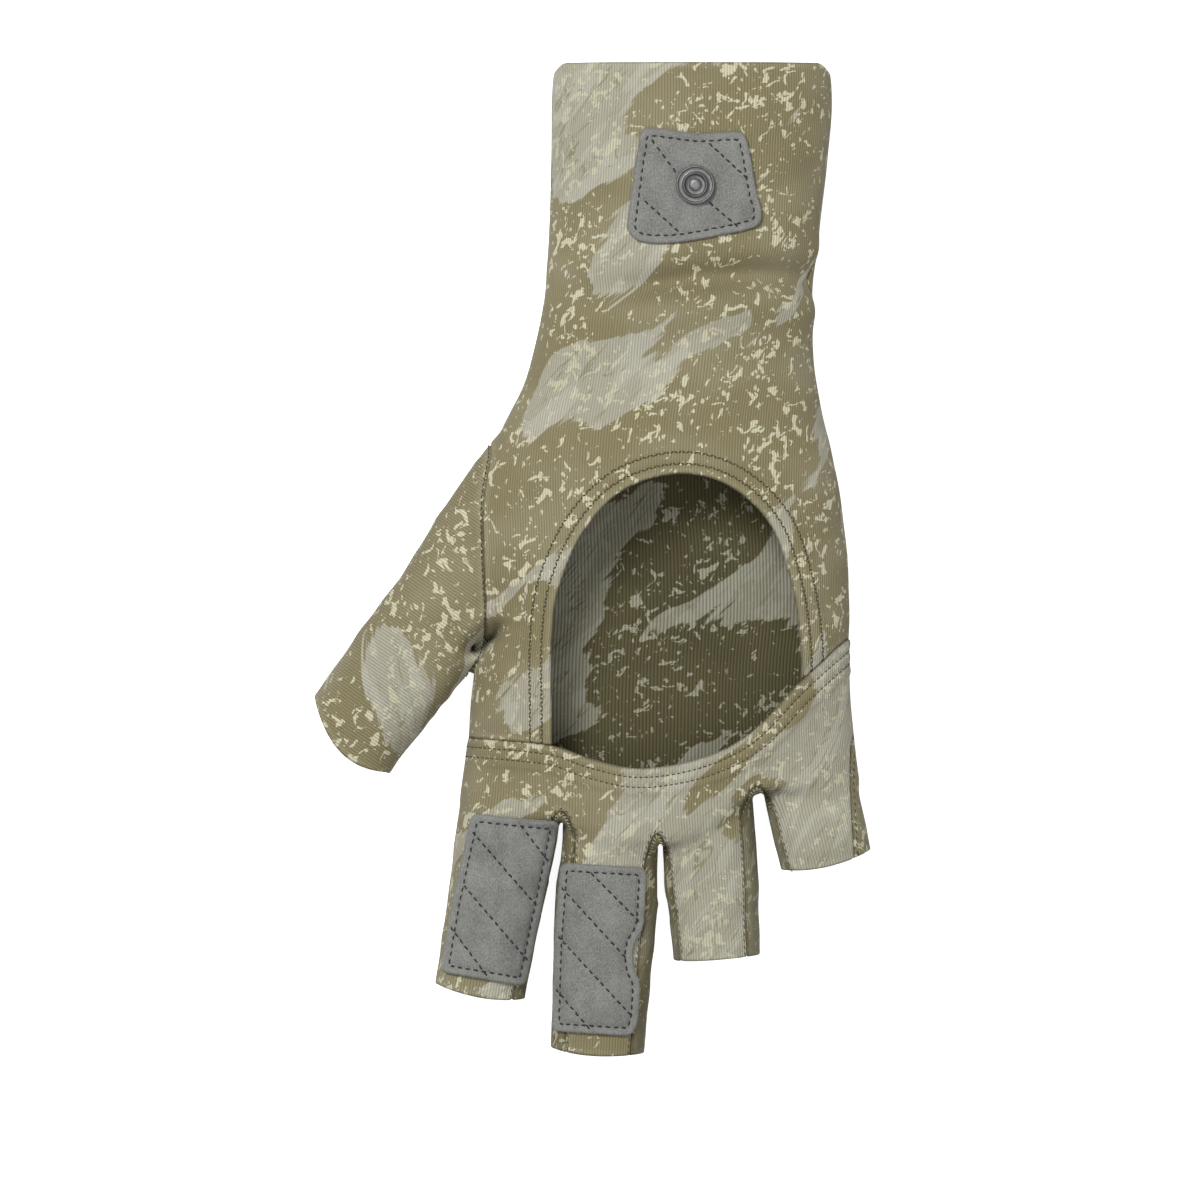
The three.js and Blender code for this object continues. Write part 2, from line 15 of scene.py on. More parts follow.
import bpy
import numpy as np
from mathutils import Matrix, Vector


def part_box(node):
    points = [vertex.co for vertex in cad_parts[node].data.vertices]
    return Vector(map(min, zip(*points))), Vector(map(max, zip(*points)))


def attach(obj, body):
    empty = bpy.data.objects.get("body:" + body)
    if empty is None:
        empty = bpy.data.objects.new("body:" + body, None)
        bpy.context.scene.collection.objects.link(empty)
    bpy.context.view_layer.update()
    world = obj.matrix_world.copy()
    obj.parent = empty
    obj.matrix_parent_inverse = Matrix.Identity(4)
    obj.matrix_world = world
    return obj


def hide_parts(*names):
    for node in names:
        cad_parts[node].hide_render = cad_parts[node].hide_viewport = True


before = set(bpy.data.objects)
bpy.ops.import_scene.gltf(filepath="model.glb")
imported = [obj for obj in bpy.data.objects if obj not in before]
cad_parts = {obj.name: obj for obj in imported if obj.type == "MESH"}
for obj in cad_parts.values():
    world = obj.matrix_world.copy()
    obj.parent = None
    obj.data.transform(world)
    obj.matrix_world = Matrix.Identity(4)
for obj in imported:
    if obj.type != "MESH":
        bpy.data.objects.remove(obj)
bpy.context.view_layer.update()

log = logging.getLogger("glove")

Array = np.ndarray
Socket = bpy.types.NodeSocket
Point = tuple[float, float]
Colour = tuple[float, float, float, float]

MM = 0.001
FOOTPRINT_SHIFT = np.array([17.145, 64.850, 0.0])
LOWEST_CLOTH = 0.02
LOWEST_THREAD = 0.03


class Grain(Enum):
    """Which cloth coordinates a part's knit and print follow."""

    PALM_SIDE = "top"
    BACK_SIDE = "under"
    THUMB = "thumb"


# Sizes


@dataclass(frozen=True)
class HandSizes:
    """The main sizes of the lying glove."""

    cuff_length: float = 59.3
    palm_length: float = 130.0
    cuff_width: float = 69.5
    wrist_width: float = 67.2
    palm_width: float = 91.5
    knuckle_width: float = 101.5
    cuff_height: float = 22.0
    wrist_height: float = 23.5
    palm_height: float = 27.0
    knuckle_height: float = 21.0
    side_seam: float = 10.5
    gusset_seam: float = 5.0
    fabric: float = 1.2


@dataclass(frozen=True)
class FingerSizes:
    """One short finger tube, and the strips of side cloth that show beside it."""

    start: float
    width: float
    halfway: float
    mouth: float
    length: float
    height: float
    lean: float
    bulge: float
    gap_after: float
    thumb_strip: float
    outer_strip: float


@dataclass(frozen=True)
class ThumbSizes:
    """The thumb sleeve, measured from inside the palm to its mouth."""

    across: float = -0.388
    down: float = -0.423
    width: float = 27.0
    length: float = 66.0
    height: float = 21.0
    lean: float = 35.0
    bulge: float = 4.8
    skew: float = 0.19


HAND = HandSizes()
THUMB = ThumbSizes()
FINGERS = (
    FingerSizes(0.0, 25.8, 0.945, 0.88, 43.6, 19.5, 9.9, 1.3, 0.4, 2.4, 2.9),
    FingerSizes(26.2, 24.3, 1.06, 0.97, 57.9, 20.0, 3.5, 1.1, 0.3, 3.6, 3.4),
    FingerSizes(50.8, 23.3, 1.01, 0.935, 34.6, 19.0, -3.8, 0.4, 4.0, 1.5, 3.2),
    FingerSizes(78.1, 23.4, 1.0, 0.985, 10.4, 18.0, -12.8, 1.6, 0.0, 1.6, 3.6),
)


# Plan lines


TABLE_ROWS = 400


def eased(t: Array, start: Array, leave: Array, end: Array, arrive: Array) -> Array:
    """A smooth line between two points.

    Args:
        t: the share of the way.
        start: the first point.
        leave: the slope there.
        end: the last point.
        arrive: the slope there.

    Returns:
        The line's points.
    """
    return (
        (2 * t**3 - 3 * t**2 + 1) * start
        + (t**3 - 2 * t**2 + t) * leave
        + (3 * t**2 - 2 * t**3) * end
        + (t**3 - t**2) * arrive
    )


def corner_curve(start: Array, corner: Array, end: Array, count: int) -> Array:
    """Points on the curve that leaves its start towards a corner and turns to its end."""
    t = np.linspace(0, 1, count)[:, None]
    return (1 - t) ** 2 * start + 2 * t * (1 - t) * corner + t**2 * end


def smooth_table(rows: list[tuple[float, ...]]) -> Array:
    """Runs a smooth curve through a table's rows.

    Args:
        rows: the rows, with the place first and then the values there, in rising order.

    Returns:
        A dense table with the same columns.
    """
    table = np.array(rows, float)
    place = table[:, 0]
    slope = np.gradient(table, place, axis=0)
    dense = np.linspace(place[0], place[-1], TABLE_ROWS)
    at = np.clip(np.searchsorted(place, dense, side="right") - 1, 0, len(place) - 2)
    span = (place[at + 1] - place[at])[:, None]
    t = (dense - place[at])[:, None] / span
    return eased(t, table[at], span * slope[at], table[at + 1], span * slope[at + 1])


def through(knots: Array, steps: int, closed: bool = False, tension: float = 0.5) -> Array:
    """Draws a smooth line through knots in the plan.

    Args:
        knots: the points that it passes.
        steps: how many pieces the line has.
        closed: whether it returns to its first knot.
        tension: how strongly it rounds at the knots.

    Returns:
        The line's points.
    """
    knots = np.asarray(knots, float)
    count = len(knots)
    at = np.linspace(0, count if closed else count - 1, steps + 1)
    low = np.minimum(at.astype(int), count - (0 if closed else 2))
    t = (at - low)[:, None]

    def knot(shift: int) -> Array:
        """The knots that lie so many places further on."""
        index = low + shift
        return knots[index % count if closed else np.clip(index, 0, count - 1)]

    leave, arrive = (knot(1) - knot(-1)) * tension, (knot(2) - knot(0)) * tension
    line = eased(t, knot(0), leave, knot(1), arrive)
    return line[:-1] if closed else line


def outline_distance(points: Array, outline: Array) -> Array:
    """How far plan points are from a closed outline, negative inside it.

    Args:
        points: the points; only X and Y are read.
        outline: the outline's corners in order.

    Returns:
        One signed distance for each point.
    """
    best = np.full(len(points), np.inf)
    inside = np.zeros(len(points), bool)
    x, y = points[:, 0], points[:, 1]
    for a, b in zip(outline, np.roll(outline, -1, axis=0)):
        edge = b - a
        t = ((x - a[0]) * edge[0] + (y - a[1]) * edge[1]) / max(edge @ edge, 1e-9)
        t = np.clip(t, 0, 1)
        best = np.minimum(best, (x - a[0] - t * edge[0]) ** 2 + (y - a[1] - t * edge[1]) ** 2)
        if a[1] != b[1]:
            spans = (a[1] > y) != (b[1] > y)
            inside ^= spans & (x < a[0] + (y - a[1]) * edge[0] / edge[1])
    return np.where(inside, -1.0, 1.0) * np.sqrt(best)


def rise(value: Array, low: float, high: float) -> Array:
    """A smooth step from 0 at low to 1 at high."""
    t = np.clip((value - low) / (high - low), 0, 1)
    return t * t * (3 - 2 * t)


def bump(value: Array, width: float) -> Array:
    """A smooth hill of height 1 round zero."""
    return np.exp(-((value / width) ** 2))


def along_way(p: Array, place: Point, way: Point) -> tuple[Array, Array]:
    """The distance of points from a place along a direction in the plan, and across it."""
    dx, dy = p[:, 0] - place[0], p[:, 1] - place[1]
    return dx * way[0] + dy * way[1], dy * way[0] - dx * way[1]


def blend_min(a: Array, b: Array, radius: Array | float) -> Array:
    """The smaller of two distances, with a fillet of that radius where they meet."""
    near = np.maximum(radius - np.abs(a - b), 0) / radius
    return np.minimum(a, b) - near * near * radius / 4


WEB = smooth_table([(-0.5, -0.035), (-0.25, 0.0), (0.0, 0.042), (0.25, -0.048), (0.5, -0.058)])


def web_drop(x: Array) -> Array:
    """How far the end of the palm lies beyond the knuckle line there."""
    return np.interp(np.asarray(x) / HAND.knuckle_width, WEB[:, 0], WEB[:, 1]) * HAND.palm_length


# Narrow wedges in the plan that part the index, middle and ring fingers at their crotches.
INDEX_SLIT = [(-25.4, -131.0), (-24.8, -131.0), (-24.65, -135.0), (-25.1, -140.0)]
INDEX_SLIT += [(-26.3, -145.0), (-27.9, -145.0), (-26.75, -140.0), (-25.8, -135.0)]
MIDDLE_SLIT = [(-0.6, -136.0), (0.1, -136.0), (0.3, -140.0), (0.2, -145.0)]
MIDDLE_SLIT += [(0.6, -150.0), (-0.9, -150.0), (-0.9, -145.0), (-0.75, -140.0)]
SLITS = (np.array(INDEX_SLIT), np.array(MIDDLE_SLIT))
SLIT_FILLET = 0.8


# The form


# An oval section: how high its widest place lies, how full it is below that, and how square.
WAIST = 0.42
BELLY = 1.35
POWER = 2.5

# How far a limb's form runs on past its mouth, so that the cut there is clean.
BEYOND = 9.0

GROUND_FILLET = 0.8
PROBE = 0.08
SETTLE_STEPS = 5
DRAPE_STEPS = 60
DRAPE_FROM = 31.0

THUMB_CROTCH = (-46.4, -86.6)
CROTCH_FOLD_WAY = (0.74, 0.673)
CROTCH_HOLE = (-46.7, -87.0)
CROTCH_HOLE_WAY = (0.62, 0.785)


def section_distance(c: Array, z: Array, side: Array, height: Array) -> Array:
    """How far points are from a squashed oval section.

    Args:
        c: the distance across from the section's middle.
        z: the height above the surface that the glove lies on.
        side: the section's reach to that side.
        height: the section's height.

    Returns:
        The distance, negative inside.
    """
    waist = height * WAIST
    half = np.where(z > waist, height - waist, waist * BELLY)
    u, v = np.abs(c) / side + 1e-6, np.abs(z - waist) / half + 1e-6
    s = (u**POWER + v**POWER) ** (1 / POWER)
    steep = np.hypot(u ** (POWER - 1) / side, v ** (POWER - 1) / half) * s ** (1 - POWER)
    return (s - 1) / steep


@dataclass
class Limb:
    """A tube of cloth: the hand itself, a finger or the thumb."""

    x: float
    y: float
    lean: float
    table: Array
    length: float
    bulge: float = 0.0
    skew: float = 0.0

    def place(self, p: Array) -> tuple[Array, Array]:
        """The distance of points along the limb and across it."""
        a = math.radians(self.lean)
        dx, dy = p[:, 0] - self.x, p[:, 1] - self.y
        return -dx * math.sin(a) - dy * math.cos(a), dx * math.cos(a) - dy * math.sin(a)

    def plan(self, along: Array, across: Array) -> Array:
        """The plan points at those distances along and across."""
        a = math.radians(self.lean)
        x = self.x - np.asarray(along) * math.sin(a) + np.asarray(across) * math.cos(a)
        y = self.y - np.asarray(along) * math.cos(a) - np.asarray(across) * math.sin(a)
        return np.stack(np.broadcast_arrays(x, y), axis=-1)

    def column(self, along: Array, number: int) -> Array:
        """One column of the limb's table at places along it."""
        return np.interp(along, self.table[:, 0], self.table[:, number])

    def reach(self, along: Array, c: Array) -> Array:
        """The section's reach towards the side on which c lies."""
        return np.where(c < 0, self.column(along, 1), self.column(along, 2))

    def distance(self, p: Array) -> Array:
        """How far points are from the limb's surface, negative inside."""
        along, c = self.place(p)
        height = self.column(along, 3)
        tube = section_distance(c, p[:, 2], self.reach(along, c), height)
        ends = np.maximum(self.table[0, 0] - along, along - self.length - BEYOND)
        return np.maximum(tube, ends)

    def past_mouth(self, p: Array) -> Array:
        """How far points lie beyond the mouth's edge."""
        along, c = self.place(p)
        share = np.clip(c / self.reach(along, c), -1, 1)
        return along - (self.length + self.skew * c + self.bulge * (1 - share**2))

    def cloth(self, p: Array, under: bool) -> tuple[Array, Array]:
        """Cloth coordinates on the limb's surface.

        Args:
            p: points on the surface.
            under: whether they are measured from the underside's middle.

        Returns:
            The distance round the limb and the distance along it.
        """
        along, c = self.place(p)
        drop = np.maximum(p[:, 2] if under else self.column(along, 3) - p[:, 2], 0)
        wide = np.abs(c)
        if under:
            over = drop > WAIST * self.column(along, 3)
            wide = np.where(over, np.maximum(2 * self.reach(along, c) - wide, wide), wide)
        return np.sign(c) * (wide + rise(np.abs(c), 2, 9) * drop**2 / (drop + 5)), along


def hand_limb() -> Limb:
    """Lays out the cuff and palm.

    Returns:
        A limb whose table runs down the arm, with the middle's shift and the bow added.
    """
    h = HAND
    cuff, palm, knuckles = h.cuff_length, h.palm_length, h.knuckle_width
    rows = [
        (-cuff - 12, h.cuff_width * 0.972, 0.0755, h.cuff_height * 0.98, 0),
        (-cuff, h.cuff_width * 0.985, 0.0755, h.cuff_height * 0.98, 0),
        (-cuff * 0.945, h.cuff_width * 0.998, 0.0762, h.cuff_height, 0),
        (-cuff * 0.59, h.cuff_width * 0.996, 0.07, h.cuff_height, 0),
        (-cuff * 0.2, h.wrist_width * 1.002, 0.053, h.cuff_height, 0),
        (0, h.wrist_width, 0.043, h.wrist_height, 0),
        (palm * 0.077, h.wrist_width * 1.03, 0.0335, h.wrist_height, 0),
        (palm * 0.154, h.wrist_width * 1.082, 0.0236, h.palm_height * 0.9, 0),
        (palm * 0.231, h.palm_width * 0.866, 0.009, h.palm_height * 0.95, 0),
        (palm * 0.35, h.palm_width * 0.967, 0, h.palm_height, 0),
        (palm * 0.5, h.palm_width, 0.01, h.palm_height, 0),
        (palm * 0.615, h.palm_width * 1.003, 0.011, h.palm_height * 0.98, 0),
        (palm * 0.69, knuckles * 0.919, 0.004, h.palm_height * 0.95, 0),
        (palm * 0.77, knuckles * 0.934, 0, h.palm_height * 0.9, 0.15),
        (palm * 0.845, knuckles * 0.946, 0, h.palm_height * 0.85, 0.4),
        (palm * 0.915, knuckles * 0.958, 0, h.knuckle_height * 1.04, 0.7),
        (palm * 0.965, knuckles * 0.965, 0, h.knuckle_height, 1),
        (palm + 12, knuckles * 0.97, 0, h.knuckle_height * 0.95, 1),
    ]
    table = smooth_table([(y, w / 2, w / 2, z, s * knuckles, b) for y, w, s, z, b in rows])
    return Limb(0, 0, 0, table, palm)


@dataclass
class HandForm:
    """The cuff and palm, whose end is bowed along the line between the fingers."""

    limb: Limb = field(default_factory=hand_limb)
    end_rounding: float = 3.2
    corner_inset: float = 2.6
    corner_turn: float = 0.34

    def straight(self, p: Array) -> tuple[Array, Array, Array]:
        """Undoes the bow and the shift of the hand's middle.

        Args:
            p: points in space.

        Returns:
            The distance down the arm, the distance across, and points straightened that way.
        """
        down = -p[:, 1]
        web = web_drop(p[:, 0])
        row = down.copy()
        for _ in range(4):
            row = down - self.limb.column(row, 5) * web
        across = p[:, 0] - self.limb.column(row, 4)
        return row, across, np.stack([across, -row, p[:, 2]], axis=1)

    def distance(self, p: Array) -> Array:
        """How far points are from the cuff and palm, negative inside."""
        row, across, _ = self.straight(p)
        height = self.limb.column(row, 3)
        tube = section_distance(across, p[:, 2], self.limb.reach(row, across), height)
        end = row - HAND.palm_length
        return -blend_min(-tube, -end, self.end_rounding)

    def past_cuff(self, p: Array) -> Array:
        """How far points lie beyond the cuff's edge, which turns in at its corners."""
        row, across, _ = self.straight(p)
        corner = np.maximum(np.abs(across) - self.limb.column(row, 1) + self.corner_inset, 0)
        return p[:, 1] - HAND.cuff_length + self.corner_turn * corner**2


def finger_limb(finger: FingerSizes) -> Limb:
    """Lays out one finger tube from its sizes."""
    half = finger.width / 2
    near_mouth = (2 * finger.mouth + finger.halfway) / 3
    rows = [(-16, 0.98, 0.86), (0, 1, 0.98), (finger.length * 0.38, finger.halfway, 1)]
    rows += [(finger.length * 0.7, near_mouth, 0.98), (finger.length, finger.mouth, 0.93)]
    rows += [(finger.length + BEYOND, finger.mouth, 0.92)]
    table = smooth_table([(t, half * w, half * w, finger.height * h) for t, w, h in rows])
    x = finger.start + half - HAND.knuckle_width / 2
    return Limb(x, -HAND.palm_length, finger.lean, table, finger.length, finger.bulge)


def thumb_limb() -> Limb:
    """Lays out the thumb sleeve from inside the palm to its mouth."""
    width, length, height = THUMB.width, THUMB.length, THUMB.height
    rows = [(-0.36, 0.46, 0.55, 0.75), (-0.2, 0.51, 0.8, 0.9), (0.06, 0.519, 0.95, 1)]
    rows += [(0.24, 0.504, 0.85, 1.06), (0.42, 0.483, 0.66, 1.05), (0.57, 0.494, 0.55, 1.02)]
    rows += [(0.8, 0.503, 0.51, 1), (1, 0.503, 0.475, 0.95), (1.3, 0.503, 0.475, 0.94)]
    table = smooth_table([(t * length, o * width, i * width, h * height) for t, o, i, h in rows])
    x, y = THUMB.across * HAND.knuckle_width, THUMB.down * HAND.palm_length
    return Limb(x, y, THUMB.lean, table, length, THUMB.bulge, THUMB.skew)


@dataclass
class GloveForm:
    """The whole outer form of the glove, as a distance from its surface."""

    hand: HandForm = field(default_factory=HandForm)
    fingers: list[Limb] = field(default_factory=lambda: [finger_limb(f) for f in FINGERS])
    thumb: Limb = field(default_factory=thumb_limb)

    def folds(self, p: Array) -> Array:
        """How far the cloth is pushed in by its folds and slack.

        Args:
            p: points near the surface.

        Returns:
            The depth at each point, negative where the cloth stands proud.
        """
        x, y, z = p.T
        waves = 0.34 * np.sin(x * 0.13 + y * 0.05 + 1.2) * np.sin(y * 0.11 - x * 0.04 + 0.4)
        waves = waves + 0.18 * np.sin(x * 0.31 - y * 0.17 + 2.0) * np.sin(y * 0.23 + 0.9)
        wrist = y - 4.0 - 0.05 * (x - 5) - 1.2 * np.sin(x * 0.09)
        crease = 3.9 * bump(wrist, 3.5) * rise(x, -40, 16)
        crease = crease - 1.1 * bump(wrist - 8, 4.5) * rise(x, -30, 0)
        crease = crease - 1.3 * bump(wrist + 8, 4.4) * rise(x, -32, 6)
        palm = y + 17 - 0.22 * (x + 10) - 1.5 * np.sin(x * 0.07 + 1)
        palm = 0.6 * bump(palm, 3.8) * rise(-x, -18, 5)
        cuff = x - 39 + 0.45 * (y - 30)
        cuff = 0.7 * bump(cuff, 3.0) * rise(y, 2, 14) * rise(-y, -46, -30)
        on_top = rise(z, 7, 15) * (waves + crease + palm + cuff)
        return on_top + self.crotch_fold(p) + self.finger_slack(p)

    def crotch_fold(self, p: Array) -> Array:
        """The fold that runs up into the palm from the hollow at the thumb's crotch."""
        along, off = along_way(p, THUMB_CROTCH, CROTCH_FOLD_WAY)
        fold = 1.5 * bump(off + 0.02 * along**2, 1.7) * rise(along, -4, 1) * rise(-along, -15, -4)
        dent = 2.8 * bump(np.hypot((along - 5.0) / 1.6, off + 0.4), 2.0)
        ridge = 0.9 * bump(off - 4.2, 2.0) * rise(along, -2, 3) * rise(-along, -15, -5)
        hollow = 3.4 * bump(np.hypot((along + 0.3) / 1.5, off), 2.1)
        return (fold + dent - ridge + hollow) * rise(p[:, 2], 6, 11)

    def finger_slack(self, p: Array) -> Array:
        """Shallow dents and bulges down the finger tubes and the thumb."""
        total = np.zeros(len(p))
        for limb in [*self.fingers, self.thumb]:
            along, c = limb.place(p)
            near = rise(along, 2, 9) * (np.abs(c) < limb.column(along, 1) * 1.25)
            phase = limb.x * 0.07
            wave = np.sin(along * 0.37 + c * 0.22 + 1.7 * phase) * np.sin(along * 0.17 - phase)
            total += 0.3 * wave * near * rise(p[:, 2], 5, 12)
        return total

    def distance(self, p: Array) -> Array:
        """How far points are from the glove's outer surface, negative inside."""
        z = p[:, 2]
        high = rise(z, 11, 19)
        fingers = np.minimum.reduce([limb.distance(p) for limb in self.fingers])
        knuckle_fillet = 0.9 + 4.5 * high + 2 * rise(np.abs(p[:, 0] - 0.5), 42, 49)
        form = blend_min(self.hand.distance(p), fingers, knuckle_fillet)
        thumb_fillet = 0.8 + 5 * high * rise(p[:, 1], -86, -60)
        form = blend_min(form, self.thumb.distance(p), thumb_fillet)
        form = form + self.folds(p)
        for slit in SLITS if len(self.fingers) > 1 else ():
            form = -blend_min(-form, outline_distance(p, slit), SLIT_FILLET)
        return -blend_min(-form, z, GROUND_FILLET)

    def normal(self, p: Array) -> Array:
        """The outward direction of the surface at points near it."""
        parts = []
        for shift in np.eye(3) * PROBE:
            parts.append(self.distance(p + shift) - self.distance(p - shift))
        slope = np.stack(parts, axis=1) / (2 * PROBE)
        return slope / np.maximum(np.linalg.norm(slope, axis=1, keepdims=True), 1e-6)

    def drape(self, plan: Array, level: float) -> tuple[Array, Array]:
        """Lets plan points down onto the surface that lies at a distance from the form.

        Args:
            plan: the points in the plan.
            level: the distance outside the form.

        Returns:
            The points on the surface and the surface's direction there.
        """
        p = np.column_stack([plan, np.full(len(plan), DRAPE_FROM)])
        for _ in range(DRAPE_STEPS):
            p[:, 2] -= np.clip(self.distance(p) - level, -0.5, 1.5)
        return p, self.normal(p)

    def settle(self, p: Array, level: float) -> Array:
        """Moves points onto the surface that lies at a distance from the form.

        Args:
            p: points near it.
            level: the distance outside the form.

        Returns:
            The moved points.
        """
        for _ in range(SETTLE_STEPS):
            p = p - self.normal(p) * np.clip(self.distance(p) - level, -0.6, 0.6)[:, None]
        return p


# Cloth meshes


# A point this near a cut is taken to lie on it.
ON_CUT = 0.06
CHAIN_GAP = 2.2
SHORTEST_CHAIN = 6

# Depths inside a panel's edge at which its rounded rim gets points of its own.
RIM_LEVELS = (0.14, 0.36, 0.62)
SUEDE_RIM_LEVELS = (0.12, 0.32, 0.56)

# The distance over which a folded hem's extra thickness runs out.
FOLD_TAPER = 0.8


def joined(points: Array, chains: list[list[int]], reach: float) -> list[list[int]]:
    """Joins chains of points whose ends lie close together.

    Args:
        points: the points that the chains name.
        chains: the chains.
        reach: how far apart two ends may lie.

    Returns:
        The longer chains.
    """
    rest = sorted(chains, key=len)
    done = []
    while rest:
        chain = rest.pop()
        while rest:
            ends = np.array([[points[c[0]], points[c[-1]]] for c in rest])
            gaps = [np.linalg.norm(ends - points[chain[k]], axis=2) for k in (-1, 0)]
            side = 0 if gaps[0].min() <= gaps[1].min() else 1
            if gaps[side].min() > reach:
                break
            which, end = np.unravel_index(np.argmin(gaps[side]), gaps[side].shape)
            other = rest.pop(int(which))
            if side:
                chain = (other if end else other[::-1]) + chain
            else:
                chain = chain + (other[::-1] if end else other)
        done.append(chain)
    return done


@dataclass
class Skin:
    """A triangle mesh with values at its points, which can be cut along any of them."""

    points: Array
    normals: Array
    faces: Array
    values: dict[str, Array]

    def cut(self, value: Array, keep: int = 0) -> "Skin":
        """Cuts every triangle along the line where a value is zero.

        Args:
            value: one number for each point.
            keep: -1 or 1 keeps only that side, and 0 keeps both.

        Returns:
            The cut skin, with the value under the name "cut".
        """
        value = np.where(np.abs(value) < ON_CUT, 0.0, value)
        sign = np.sign(value).astype(int)[self.faces]
        cross = np.stack([sign[:, k] * sign[:, (k + 1) % 3] < 0 for k in range(3)], axis=1)
        count = cross.sum(1)
        total = len(self.points)
        ends = np.concatenate([self.faces[cross[:, k]][:, [k, (k + 1) % 3]] for k in range(3)])
        ends = np.sort(ends, axis=1).astype(np.int64)
        keys = np.unique(ends[:, 0] * total + ends[:, 1])
        low, high = keys // total, keys % total

        def between(a: Array, b: Array) -> Array:
            """The new points on the edges from a to b."""
            key = np.minimum(a, b).astype(np.int64) * total + np.maximum(a, b)
            return total + np.searchsorted(keys, key)

        faces = [self.faces[count == 0]]
        for k in range(3):
            two = self.faces[(count == 2) & cross[:, k] & cross[:, (k + 2) % 3]]
            a, b, c = two[:, k], two[:, (k + 1) % 3], two[:, (k + 2) % 3]
            ab, ac = between(a, b), between(a, c)
            faces += [np.stack(t, 1) for t in ((a, ab, ac), (ab, b, c), (ab, c, ac))]
            one = self.faces[(count == 1) & cross[:, k]]
            b, c, a = one[:, k], one[:, (k + 1) % 3], one[:, (k + 2) % 3]
            bc = between(b, c)
            faces += [np.stack(t, 1) for t in ((a, b, bc), (a, bc, c))]
        share = value[low] / (value[low] - value[high]) if len(keys) else np.zeros(0)

        def grown(column: Array) -> Array:
            """A column with its values at the new points added."""
            t = share if column.ndim == 1 else share[:, None]
            return np.concatenate([column, column[low] * (1 - t) + column[high] * t])

        normals = grown(self.normals)
        normals /= np.maximum(np.linalg.norm(normals, axis=1, keepdims=True), 1e-9)
        values = {name: grown(column) for name, column in self.values.items()}
        values["cut"] = np.concatenate([value, np.zeros(len(keys))])
        new = Skin(grown(self.points), normals, np.concatenate(faces), values)
        return new.kept(values["cut"][new.faces].sum(1) * keep > 0) if keep else new

    def kept(self, faces: Array) -> "Skin":
        """The skin with only the marked triangles and the points that they use."""
        used, index = np.unique(self.faces[faces], return_inverse=True)
        values = {name: column[used] for name, column in self.values.items()}
        return Skin(self.points[used], self.normals[used], index.reshape(-1, 3), values)

    def edge_points(self) -> Array:
        """A mark for each point that lies on the skin's open edge."""
        pairs = np.concatenate([self.faces[:, [k, (k + 1) % 3]] for k in range(3)])
        pairs, uses = np.unique(np.sort(pairs, axis=1), axis=0, return_counts=True)
        mark = np.zeros(len(self.points), bool)
        mark[pairs[uses == 1].ravel()] = True
        return mark

    def area(self) -> float:
        """The skin's area in square millimetres."""
        a, b, c = (self.points[self.faces[:, k]] for k in range(3))
        return float(np.linalg.norm(np.cross(b - a, c - a), axis=1).sum() / 2)

    def lines(self, value: Array) -> list[tuple[Array, Array]]:
        """Follows the lines on which a value is zero.

        Args:
            value: one number for each point.

        Returns:
            The points and normals of each line, longest first.
        """
        skin = self.cut(value)
        zero = skin.values["cut"] == 0
        pairs = np.concatenate([skin.faces[:, [k, (k + 1) % 3]] for k in range(3)])
        pairs = np.unique(np.sort(pairs[zero[pairs].all(1)], axis=1), axis=0)
        beside: dict[int, list[int]] = {}
        for a, b in pairs.tolist():
            beside.setdefault(a, []).append(b)
            beside.setdefault(b, []).append(a)
        found = []
        while beside:
            start = min(beside, key=lambda p: (len(beside[p]) != 1, p))
            chain, here = [start], start
            while here in beside:
                ahead = [p for p in beside.pop(here) if p in beside]
                if not ahead:
                    break
                here = ahead[0]
                chain.append(here)
            found.append(chain)
        chains = [c for c in joined(skin.points, found, CHAIN_GAP) if len(c) >= SHORTEST_CHAIN]
        lines = [(skin.points[c], skin.normals[c]) for c in chains]
        return sorted(lines, key=lambda line: -len(line[0]))


